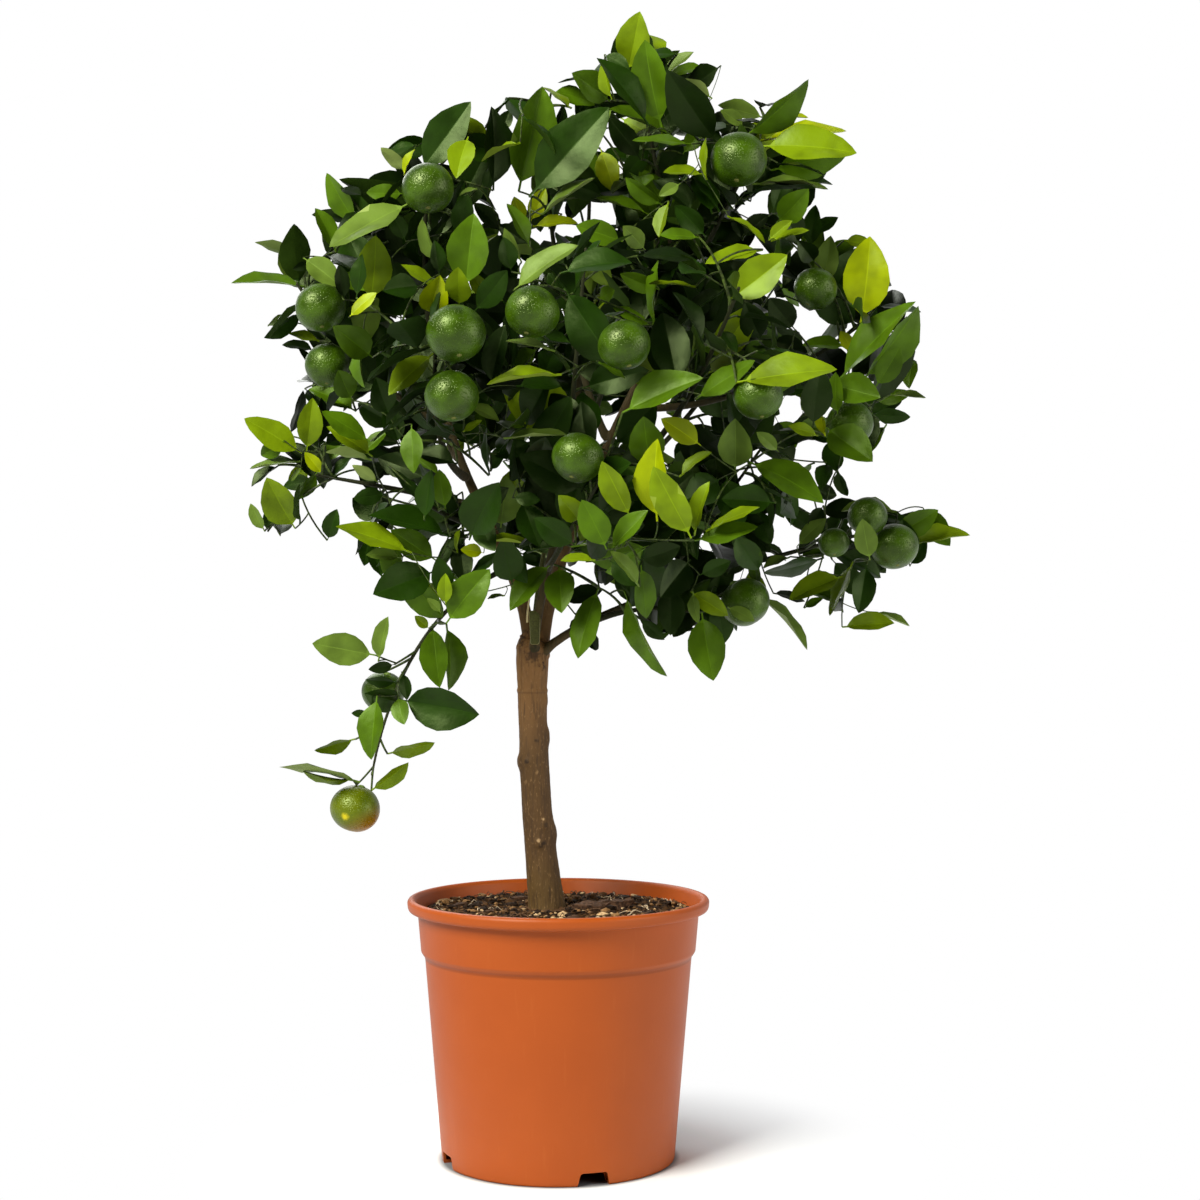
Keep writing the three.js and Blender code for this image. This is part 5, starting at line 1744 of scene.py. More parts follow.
@dataclass(frozen=True)
class TwigFinish:
    """Green young wood."""

    name: str = "twig_skin"
    dark: Colour = srgb(30, 38, 12)
    light: Colour = srgb(66, 84, 28)

    def build(self) -> bpy.types.Material:
        """Makes the material: green with fine lengthwise streaks.

        Returns:
            The material.
        """
        shader = Shader(self.name)
        streaks = shader.noise(0.003, 3)
        base = shader.mix(streaks.step(0.35, 0.65), self.dark, self.light)
        shader.bump(shader.noise(0.0008, 2), 0.0002)
        return shader.finish(Base_Color=base, Roughness=0.55, Specular_IOR_Level=0.25)


@dataclass(frozen=True)
class PeelFinish:
    """The pitted skin of a fruit."""

    name: str
    deep: Colour = srgb(30, 50, 1)
    light: Colour = srgb(54, 82, 1)
    blush: Colour | None = None
    painted_highlight: Colour = srgb(214, 196, 20)
    sheen: Colour = (0.8, 1.0, 0.45)
    # place and size in millimetres of a small soft yellow spot on the ripening fruit: a painted highlight
    painted_highlight_spot: tuple[Triple, float] = (-142.5, -56, 242), 4

    def build(self) -> bpy.types.Material:
        """Makes the material: cloudy green with oil pits, and a ripe side and a painted highlight spot if it
        has a blush.

        Returns:
            The material.
        """
        shader = Shader(self.name)
        clouds = shader.noise(0.012, 3)
        pits = shader.cells(0.0014).step(0.0, 0.5)
        base = shader.mix(clouds.step(0.3, 0.7), self.deep, self.light)
        base = shader.mix((1 - pits) * 0.16, base, shade(self.light, 1.8))
        if self.blush:
            low = shader.coordinate(0) * 0.5 - shader.height() * 0.86
            base = shader.mix(low.step(-0.279, -0.26) * 0.75, base, self.blush)
            # painted highlight: a small soft yellow spot on the front of the ripening fruit
            base = shader.mix(shader.spot(*self.painted_highlight_spot, 0.6) * 0.8, base, self.painted_highlight)
        shader.bump(pits + clouds * 2, 0.00024)
        return shader.finish(Base_Color=base, Roughness=clouds * 0.1 + 0.29, Specular_IOR_Level=0.5,
                             Specular_Tint=self.sheen)


@dataclass(frozen=True)
class PlainFinish:
    """A small part's finish: one colour with fine mottling."""

    name: str
    colour: Colour
    roughness: float = 0.7
    grain: float = 0.002
    variety: float = 0.35
    gloss: float = 0.2

    def build(self) -> bpy.types.Material:
        """Makes the material.

        Returns:
            The material.
        """
        shader = Shader(self.name)
        grain = shader.noise(self.grain, 4)
        base = shader.mix(grain.step(0.3, 0.7), shade(self.colour, 1 - self.variety),
                          shade(self.colour, 1 + self.variety))
        shader.bump(grain, self.grain * 0.25)
        return shader.finish(Base_Color=base, Roughness=self.roughness, Specular_IOR_Level=self.gloss)


@dataclass(frozen=True)
class PotFinish:
    """Moulded terracotta-coloured plastic."""

    colour: Colour = srgb(163, 74, 16)
    worn: Colour = srgb(182, 98, 38)
    dark: Colour = srgb(150, 65, 12)
    # heights in metres between which the step under the collar lies in its own shade, painted there as a
    # darker band: painted shade
    step: tuple[float, float, float, float] = (0.1385, 0.1395, 0.1415, 0.143)

    def build(self) -> bpy.types.Material:
        """Makes the material: even colour, faint cloudiness, fine upright scuffs, a painted shade band at
        the step under the collar, and a soft sheen.

        Returns:
            The material.
        """
        shader = Shader("pot_plastic")
        clouds = shader.noise(0.05, 3)
        scuffs = shader.noise(0.004, 4, (1, 1, 0.12))
        base = shader.mix(clouds.step(0.3, 0.7) * 0.3, self.colour, self.dark)
        base = shader.mix(scuffs.step(0.6, 0.8) * 0.15, base, self.worn)
        height = shader.height()
        # painted shade: a dark band in the colour at the step under the collar
        line = height.step(*self.step[:2]) - height.step(*self.step[2:])
        base = shader.mix(line * 0.4, base, shade(self.dark, 0.4))
        shader.bump(shader.noise(0.0009, 3) * 0.6 + clouds * 0.4, 0.00012)
        return shader.finish(Base_Color=base, Roughness=clouds * 0.1 + 0.42, Specular_IOR_Level=0.32,
                             Specular_Tint=(1.0, 0.9, 0.8))


@dataclass(frozen=True)
class SoilFinish:
    """Dark potting soil."""

    dark: Colour = srgb(24, 15, 7)
    light: Colour = srgb(84, 57, 30)

    def build(self) -> bpy.types.Material:
        """Makes the material: crumbs of several sizes.

        Returns:
            The material.
        """
        shader = Shader("soil")
        crumbs = shader.noise(0.0028, 6)
        lumps = shader.noise(0.011, 3)
        base = shader.mix(crumbs.step(0.36, 0.68), self.dark, self.light)
        base = shader.mix(lumps.step(0.4, 0.7) * 0.5, base, self.dark)
        shader.bump(crumbs, 0.0025)
        return shader.finish(Base_Color=base, Roughness=0.95, Specular_IOR_Level=0.1)


TINTS = {
    # painted shade: the near-black greens of leaves deep in the crown
    Tint.DEEP: (srgb(8, 22, 1), srgb(24, 42, 8)),
    Tint.DARK: (srgb(22, 45, 2), srgb(46, 68, 16)),
    Tint.MID: (srgb(64, 92, 6), srgb(98, 122, 38)),
    Tint.FRESH: (srgb(98, 120, 6), srgb(124, 144, 44)),
    # partly painted light: the glow of leaves lit from behind
    Tint.LIME: (srgb(130, 145, 1), srgb(142, 158, 24)),
    # upper side: a painted sheen; underside: the pale underside's own colour
    Tint.SAGE: (srgb(84, 106, 36), srgb(124, 142, 74)),
}
RIB = 1.35


def leaf_materials() -> list[bpy.types.Material]:
    """Makes three materials for each tint: upper side, underside and midrib.

    Returns:
        The materials, in the order of the tints.
    """
    materials = []
    for tint, (top, under) in TINTS.items():
        name = tint.name.lower()
        materials.append(LeafFinish(f"leaf_{name}", top, 0.3).build())
        materials.append(LeafFinish(f"leaf_{name}_under", under, 0.55, 0.14, gloss=0.14).build())
        materials.append(LeafFinish(f"leaf_{name}_rib", shade(top, RIB), 0.45, 0.1).build())
    return materials


# ---------------------------------------------------------------- mesh making


class Shell:
    """Points and faces that grow into one mesh."""

    def __init__(self) -> None:
        """Starts with nothing."""
        self.points: list[np.ndarray] = []
        self.faces: list[tuple[int, ...]] = []
        self.slots: list[int] = []
        self.count = 0

    def add(self, points: np.ndarray, faces: Iterable[Sequence[int]], slot: int | Sequence[int] = 0) -> None:
        """Adds a piece.

        Args:
            points: Its points, one row each.
            faces: Its faces, as indices of its own points.
            slot: The material of all its faces, or of each.
        """
        faces = list(faces)
        self.faces.extend(tuple(int(i) + self.count for i in face) for face in faces)
        self.slots.extend([slot] * len(faces) if isinstance(slot, int) else slot)
        self.points.append(points)
        self.count += len(points)

    def build(self, name: str, materials: Sequence[bpy.types.Material]) -> bpy.types.Object:
        """Makes the object.

        Args:
            name: The object's name.
            materials: Its materials, in the order of the slots.

        Returns:
            The object.
        """
        mesh = bpy.data.meshes.new(name)
        mesh.from_pydata(np.concatenate(self.points).tolist(), [], self.faces)
        for material in materials:
            mesh.materials.append(material)
        mesh.polygons.foreach_set("material_index", self.slots)
        mesh.validate()
        thing = bpy.data.objects.new(name, mesh)
        bpy.context.scene.collection.objects.link(thing)
        return thing


def ring_faces(rings: int, sides: int) -> list[tuple[int, ...]]:
    """The faces round a stack of rings, and those that close its two ends.

    Args:
        rings: How many rings there are.
        sides: How many points each has.

    Returns:
        The faces, as indices of the points.
    """
    starts = range(0, (rings - 1) * sides, sides)
    pairs = [(i, (i + 1) % sides) for i in range(sides)]
    faces = [(low + i, low + j, low + sides + j, low + sides + i) for low in starts for i, j in pairs]
    last = (rings - 1) * sides
    return [*faces, tuple(range(sides))[::-1], tuple(range(last, last + sides))]


def tube(points: np.ndarray, radii: np.ndarray, sides: int) -> tuple[np.ndarray, list[tuple[int, ...]]]:
    """A closed tube along a line.

    Args:
        points: The points of its middle line.
        radii: The radius at each point.
        sides: The number of sides.

    Returns:
        Its points and its faces.
    """
    heading = unit(np.gradient(points, axis=0))
    askew = np.array(RULE.askew) if abs(heading[0] @ np.array(RULE.askew)) < 0.95 else UP[[2, 0, 1]]
    across = [square_to(askew, heading[0])]
    for direction in heading[1:]:
        across.append(square_to(across[-1], direction))
    across = np.array(across)
    aside = np.cross(heading, across)
    angles = np.linspace(0, 2 * math.pi, sides, endpoint=False)
    ways = across[:, None] * np.cos(angles)[None, :, None] + aside[:, None] * np.sin(angles)[None, :, None]
    return (points[:, None] + radii[:, None, None] * ways).reshape(-1, 3), ring_faces(len(points), sides)


def select_only(thing: bpy.types.Object) -> None:
    """Makes one object the only one selected, and the active one."""
    bpy.ops.object.select_all(action="DESELECT")
    thing.select_set(True)
    bpy.context.view_layer.objects.active = thing


def apply_modifier(thing: bpy.types.Object, kind: str, **settings: Any) -> None:
    """Adds a modifier to an object and applies it.

    Args:
        thing: The object.
        kind: The modifier's type.
        settings: Its settings.
    """
    select_only(thing)
    modifier = thing.modifiers.new(kind.lower(), kind)
    for name, value in settings.items():
        setattr(modifier, name, value)
    bpy.ops.object.modifier_apply(modifier=modifier.name)


def smooth(thing: bpy.types.Object, degrees: float = 40) -> None:
    """Shades an object smooth, with sharp edges past an angle."""
    select_only(thing)
    bpy.ops.object.shade_smooth_by_angle(angle=math.radians(degrees))


def face_out(thing: bpy.types.Object, merge: float = 1e-6) -> None:
    """Merges doubled points and turns all faces outwards.

    Args:
        thing: The object.
        merge: How near doubled points are, in metres.
    """
    select_only(thing)
    bpy.ops.object.mode_set(mode="EDIT")
    bpy.ops.mesh.select_all(action="SELECT")
    bpy.ops.mesh.remove_doubles(threshold=merge)
    bpy.ops.mesh.normals_make_consistent(inside=False)
    bpy.ops.object.mode_set(mode="OBJECT")


def taken_apart(thing: bpy.types.Object) -> tuple[np.ndarray, list[tuple[int, ...]]]:
    """Turns an object into its points and its faces, and removes it.

    Args:
        thing: The object.

    Returns:
        Its points and its faces.
    """
    points = np.array([vertex.co for vertex in thing.data.vertices])
    faces = [tuple(face.vertices) for face in thing.data.polygons]
    bpy.data.objects.remove(thing)
    return points, faces


def drawn_out(name: str, rings: Sequence[tuple[Any, float]], sides: int) -> bpy.types.Object:
    """Draws a ring of edges from place to place, as on a potter's wheel, and closes both ends.

    Args:
        name: The object's name.
        rings: The middle and the radius of each ring, in metres.
        sides: The number of sides.

    Returns:
        The closed object, with its faces outwards.
    """
    bpy.ops.object.select_all(action="DESELECT")
    place, radius = rings[0]
    bpy.ops.mesh.primitive_circle_add(vertices=sides, radius=radius, location=place)
    thing = bpy.context.object
    thing.name = thing.data.name = name
    bpy.ops.object.transform_apply(location=True, rotation=True, scale=True)
    bpy.ops.object.mode_set(mode="EDIT")
    bpy.ops.mesh.select_all(action="SELECT")
    bpy.ops.mesh.edge_face_add()
    bpy.ops.mesh.select_mode(type="EDGE")
    for next_place, next_radius in rings[1:]:
        way = tuple(after - before for before, after in zip(place, next_place))
        bpy.ops.mesh.extrude_edges_move(TRANSFORM_OT_translate={"value": way})
        factor = next_radius / radius
        bpy.ops.transform.resize(value=(factor, factor, 1), center_override=tuple(next_place))
        place, radius = next_place, next_radius
    bpy.ops.mesh.edge_face_add()
    bpy.ops.object.mode_set(mode="OBJECT")
    face_out(thing)
    return thing


def turned_on(profile: Sequence[tuple[float, float]]) -> list[tuple[Triple, float]]:
    """The rings of a round thing on the pot's axis, from radius and height."""
    return [((0, 0, height), radius) for radius, height in profile]


def rounded(points: Sequence[tuple[float, float, float]], steps: int = 4) -> list[tuple[float, float]]:
    """Rounds the corners of a profile.

    Args:
        points: Radius, height and rounding of each corner, in millimetres.
        steps: How many steps each rounding has.

    Returns:
        Radius and height of each point, in metres.
    """
    outline: list[tuple[float, float]] = []
    corners = metres([point[:2] for point in points])
    for i, (radius, height, rounding) in enumerate(points):
        if not rounding or i in (0, len(points) - 1):
            outline.append((radius * MM, height * MM))
            continue
        before, after = corners[i - 1] - corners[i], corners[i + 1] - corners[i]
        reach = min(rounding * MM, 0.45 * np.linalg.norm(before), 0.45 * np.linalg.norm(after))
        start, end = corners[i] + unit(before) * reach, corners[i] + unit(after) * reach
        curve = Limb([start, corners[i], end])
        outline.extend(tuple(point) for point in curve.points(np.linspace(0, 1, steps + 1)))
    return outline


def hand_in(thing: bpy.types.Object, replaced: Sequence[str] = ()) -> None:
    """Fixes a finished piece to the plant's body and the nodes it stands for.

    Args:
        thing: The piece.
        replaced: The nodes that it stands for.
    """
    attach(thing, BODY)
    if replaced:
        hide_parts(*replaced)
    thing.data.calc_loop_triangles()
    log.info("%-22s %7d triangles", thing.name, len(thing.data.loop_triangles))


# ---------------------------------------------------------------- pot and soil


@dataclass
class Pot:
    """The nursery pot, in millimetres: rim, collar, tapering wall and a notched foot."""

    height: float = 181
    wall: float = 1.8
    rim_radius: float = 105
    rim_depth: float = 8
    lip_radius: float = 99
    collar_top: float = 97.8
    collar_foot: float = 95.4
    collar_height: float = 147
    step_height: float = 140.5
    step_radius: float = 92.6
    foot_radius: float = 80.8
    ring_radius: float = 72.5
    pad_radius: float = 46
    recess: float = 7
    floor: float = 10
    sides: int = 180
    notch_turns: tuple[float, ...] = (18, 111, 198, 291)
    notch_foot: float = 22.5
    notch_top: float = 18.3
    notch_height: float = 9
    notch_depth: float = 14
    notch_round: float = 1.6

    def profile(self) -> list[tuple[float, float]]:
        """The pot's outline from the middle of its underside round to that of its floor."""
        rim_foot = self.height - self.rim_depth
        return rounded([
            (self.pad_radius, 0, 0),
            (self.pad_radius + 2.5, self.recess, 1),
            (self.ring_radius - 2, self.recess, 1),
            (self.ring_radius, 0, 0.8),
            (self.foot_radius, 0, 1.6),
            (self.step_radius - 0.1, self.step_height - 2, 0.6),
            (self.step_radius + 0.2, self.step_height, 0.5),
            (self.collar_foot, self.collar_height - 2.5, 0.8),
            (self.collar_foot + 0.2, self.collar_height, 0.8),
            (self.collar_top, rim_foot - 1.2, 1),
            (self.rim_radius - 1.4, rim_foot - 0.4, 0.8),
            (self.rim_radius - 0.4, rim_foot + 1.4, 1),
            (self.rim_radius, self.height - 2.4, 1.2),
            (self.rim_radius - 1.2, self.height - 0.5, 1.2),
            (self.rim_radius - 4, self.height, 1.6),
            (self.lip_radius, self.height - 2, 2.2),
            (self.collar_top - self.wall, rim_foot - 4, 2),
            (self.collar_foot - self.wall, self.collar_height, 1.5),
            (self.step_radius - self.wall, self.step_height, 1.5),
            (self.foot_radius - self.wall, 2, 1),
            (self.ring_radius + 1.8, 2, 1),
            (self.ring_radius - 1.2, self.floor, 1),
            (self.pad_radius + 1, self.floor, 1),
            (self.pad_radius - 2, 2, 0),
        ])

    def cut_notches(self, pot: bpy.types.Object) -> None:
        """Cuts the drainage notches out of the foot, each narrower at its top.

        Args:
            pot: The pot.
        """
        ring = (self.foot_radius + self.ring_radius) / 2 * MM
        for turn in self.notch_turns:
            bpy.ops.object.select_all(action="DESELECT")
            bpy.ops.mesh.primitive_cube_add(size=1)
            cutter = bpy.context.object
            for vertex in cutter.data.vertices:
                width = self.notch_top if vertex.co.z > 0 else 2 * self.notch_foot - self.notch_top
                vertex.co.x *= self.notch_depth * MM
                vertex.co.y *= width * MM
                vertex.co.z *= 2 * self.notch_height * MM
            bpy.ops.object.mode_set(mode="EDIT")
            bpy.ops.mesh.bevel(offset=self.notch_round * MM, segments=4, affect="EDGES")
            bpy.ops.object.mode_set(mode="OBJECT")
            turned_to = Matrix.Rotation(math.radians(turn - 90), 4, "Z")
            cutter.data.transform(turned_to @ Matrix.Translation((ring, 0, 0)))
            apply_modifier(pot, "BOOLEAN", object=cutter, operation="DIFFERENCE", solver="EXACT")
            bpy.data.objects.remove(cutter)

    def build(self) -> None:
        """Makes the pot and hands it in."""
        pot = drawn_out("nursery_pot", turned_on(self.profile()), self.sides)
        self.cut_notches(pot)
        pot.data.materials.clear()
        pot.data.materials.append(PotFinish().build())
        smooth(pot, 35)
        hand_in(pot, ["pot"])


@dataclass
class Soil:
    """The potting soil: a crumbly bed with chips, bark and fibres lying in it. Millimetres."""

    top: float = 173
    edge: float = 170
    radius: float = 94.9
    depth: float = 12
    rings: int = 70
    sides: int = 220
    chips: int = 1700
    fibres: int = 150
    clear: float = 14
    # how many of the chips are dark, brown, tan and pale, and the shortest and longest of each
    kinds: tuple[int, ...] = (44, 28, 17, 11)
    lengths: tuple[tuple[float, float], ...] = ((1.6, 5.2), (1.6, 5.2), (1.6, 5.2), (1.8, 4.6))
    large: float = 0.08
    # place, size and lift of each larger piece of bark
    pieces: tuple[tuple[tuple[float, float], Triple, float], ...] = (
        ((24, -6), (30, 11, 7), 4), ((40, -2), (26, 9, 6), 5), ((33, 8), (22, 10, 5), 3),
        ((-52, -22), (15, 8, 4), 1), ((62, -30), (13, 7, 4), 1), ((-30, 34), (18, 8, 4), 1),
        ((10, -52), (12, 7, 3), 1), ((-70, 8), (12, 8, 4), 1), ((20, 58), (16, 9, 4), 1))
    # place, rise and spread of each heap and hollow
    heaps: tuple[tuple[float, float, float, float], ...] = (
        (-62, 26, 3.5, 24), (66, 26, 3, 20), (14, 10, -2.5, 12), (-30, 60, 2, 20), (-70, -30, 2, 16))
    seed: int = 7
    random: random.Random = field(init=False)

    def __post_init__(self) -> None:
        """Seeds what lies about by chance, and the noise vectors, which else start from the clock."""
        self.random = random.Random(self.seed)
        noise.seed_set(self.seed)

    def surface(self, x: float, y: float) -> float:
        """The height of the bed at a place, in metres.

        Args:
            x: The place, in metres.
            y: The same.

        Returns:
            The height.
        """
        distance = math.hypot(x, y) / (self.radius * MM)
        base = mix(self.top, self.edge, distance ** 2.2)
        for place_x, place_y, rise, spread in self.heaps:
            apart = math.hypot(x / MM - place_x, y / MM - place_y) / spread
            base += rise * math.exp(-apart * apart)
        lumps = noise.noise(Vector((x * 60, y * 60, 3))) * 2.4
        crumbs = noise.noise(Vector((x * 260, y * 260, 9))) * 1.4
        grains = noise.noise(Vector((x * 700, y * 700, 5))) * 0.6
        edge = 1 - max(0.0, distance - 0.9) * 4
        return (base + (lumps + crumbs + grains) * edge) * MM

    def build_bed(self) -> None:
        """Makes the bed: rings drawn inwards over its top, then shaped."""
        low = self.edge - self.depth
        profile = [(4, low), (self.radius - 3, low), (self.radius, self.edge)]
        profile += [(self.radius * (1 - i / self.rings), self.edge) for i in range(1, self.rings)]
        bed = drawn_out("soil_bed", turned_on([(r * MM, h * MM) for r, h in profile]), self.sides)
        lowest = (self.edge - 0.5) * MM
        for vertex in bed.data.vertices:
            if vertex.co.z > lowest:
                vertex.co.z = self.surface(vertex.co.x, vertex.co.y)
        bed.data.materials.append(SoilFinish().build())
        smooth(bed, 60)
        hand_in(bed, ["soil"])

    def scatter(self) -> tuple[float, float]:
        """A place on the bed, in metres, clear of the trunk.

        Returns:
            The place.
        """
        while True:
            angle = self.random.uniform(0, 2 * math.pi)
            distance = (self.radius - 3) * math.sqrt(self.random.random())
            x, y = distance * math.cos(angle), distance * math.sin(angle)
            if math.hypot(x - TRUNK.foot[0], y - TRUNK.foot[1]) > self.clear:
                return x * MM, y * MM

    def lump(self, size: Triple, place: Triple, rough: float = 0.25) -> np.ndarray:
        """The points of a rough lump of 12 corners, turned by chance.

        Args:
            size: Length, width and thickness.
            place: Its middle.
            rough: How far its corners stray, as a share.

        Returns:
            The points, one row each.
        """
        corners = self.lump_corners() / 1.9
        corners *= 1 + np.array([[self.random.uniform(-rough, rough)] for _ in corners])
        turn = Matrix.Rotation(self.random.uniform(0, 6.3), 3, "Z") @ Matrix.Rotation(
            self.random.uniform(-0.6, 0.6), 3, "X")
        return (corners * np.array(size) / 2) @ np.array(turn).T + np.array(place)

    def build_chips(self) -> None:
        """Makes the chips of bark, peat and pale grit that lie on the bed."""
        faces = self.lump_faces()
        shell = Shell()
        for _ in range(self.chips):
            x, y = self.scatter()
            kind = self.random.choices((0, 1, 2, 3), self.kinds)[0]
            length = self.random.uniform(*self.lengths[kind])
            if self.random.random() < self.large:
                length *= 2
            wide = length * self.random.uniform(0.5, 0.9)
            thick = length * self.random.uniform(0.25, 0.6)
            size = (length * MM, wide * MM, thick * MM)
            shell.add(self.lump(size, (x, y, self.surface(x, y) + thick * 0.2 * MM)), faces, kind)
        chips = shell.build("soil_chips", [
            PlainFinish("chip_dark", srgb(36, 23, 12), 0.9).build(),
            PlainFinish("chip_brown", srgb(80, 54, 28), 0.85).build(),
            PlainFinish("chip_tan", srgb(132, 98, 60), 0.85).build(),
            PlainFinish("chip_pale", srgb(192, 162, 120), 0.8).build()])
        hand_in(chips)

    @staticmethod
    def lump_corners() -> np.ndarray:
        """The twelve corners of a lump: those of three golden rectangles set square to each other."""
        golden = (1 + math.sqrt(5)) / 2
        first = [(0, a, b * golden) for a in (-1, 1) for b in (-1, 1)]
        return np.array([c[i:] + c[:i] for i in range(3) for c in first])

    def lump_faces(self) -> list[tuple[int, ...]]:
        """The twenty faces of a lump, found as the triples of corners that are next to each other.

        Returns:
            The faces, turned outwards.
        """
        corners = self.lump_corners()
        near = np.linalg.norm(corners[:, None] - corners[None], axis=-1) < 2.1
        faces = []
        for i, j, k in itertools.combinations(range(12), 3):
            if near[i, j] and near[j, k] and near[i, k]:
                normal = np.cross(corners[j] - corners[i], corners[k] - corners[i])
                faces.append((i, j, k) if normal @ corners[i] > 0 else (i, k, j))
        return faces

    def build_fibres(self) -> None:
        """Makes the fibres and the fine roots that lie on the bed."""
        shell = Shell()
        for _ in range(self.fibres):
            x, y = self.scatter()
            angle = self.random.uniform(0, 2 * math.pi)
            length = self.random.uniform(6, 22) * MM
            steps = 7
            points = []
            for i in range(steps):
                share = i / (steps - 1)
                bend = angle + (share - 0.5) * self.random.uniform(-0.3, 0.3)
                px = x + math.cos(bend) * length * (share - 0.5)
                py = y + math.sin(bend) * length * (share - 0.5)
                if math.hypot(px, py) > (self.radius - 1) * MM:
                    break
                lift = math.sin(share * math.pi) * self.random.uniform(0.5, 3.5) * MM
                points.append((px, py, self.surface(px, py) + lift))
            if len(points) < 3:
                continue
            radii = np.full(len(points), self.random.uniform(0.18, 0.4) * MM)
            shell.add(*tube(np.array(points), radii, 5), self.random.choice((0, 0, 1)))
        fibres = shell.build("soil_fibres", [
            PlainFinish("fibre_brown", srgb(96, 70, 48), 0.8, 0.001).build(),
            PlainFinish("fibre_pale", srgb(196, 176, 146), 0.8, 0.001).build()])
        smooth(fibres)
        hand_in(fibres)

    def build_bark(self) -> None:
        """Makes the larger pieces of bark beside the trunk."""
        shell = Shell()
        for (x, y), (length, width, thickness), lift in self.pieces:
            bpy.ops.object.select_all(action="DESELECT")
            bpy.ops.mesh.primitive_cube_add(size=1)
            piece = bpy.context.object
            bpy.ops.object.mode_set(mode="EDIT")
            bpy.ops.transform.resize(value=(length * MM, width * MM, thickness * MM))
            bpy.ops.mesh.subdivide(number_cuts=9)
            bpy.ops.object.mode_set(mode="OBJECT")
            seed = self.random.uniform(0, 50)
            for vertex in piece.data.vertices:
                spot = vertex.co * 130 + Vector((seed, seed, seed))
                taper = 1 - 0.5 * abs(vertex.co.x) / (length * MM / 2)
                vertex.co.y *= taper
                vertex.co.z *= taper
                vertex.co += noise.noise_vector(spot) * 2.0 * MM + noise.noise_vector(spot * 4) * 0.6 * MM
            turn = Matrix.Rotation(self.random.uniform(-0.6, 0.6), 4, "Z") @ Matrix.Rotation(
                self.random.uniform(-0.25, 0.1), 4, "Y")
            place = Matrix.Translation((x * MM, y * MM, self.surface(x * MM, y * MM) + lift * MM * 0.5))
            piece.data.transform(place @ turn)
            shell.add(*taken_apart(piece))
        bark = shell.build("soil_bark", [
            PlainFinish("bark_piece", srgb(74, 52, 36), 0.85, 0.0025, 0.6).build()])
        smooth(bark, 50)
        hand_in(bark)

    def build(self) -> None:
        """Makes all of the soil."""
        self.build_bed()
        self.build_chips()
        self.build_fibres()
        self.build_bark()


# ---------------------------------------------------------------- wood


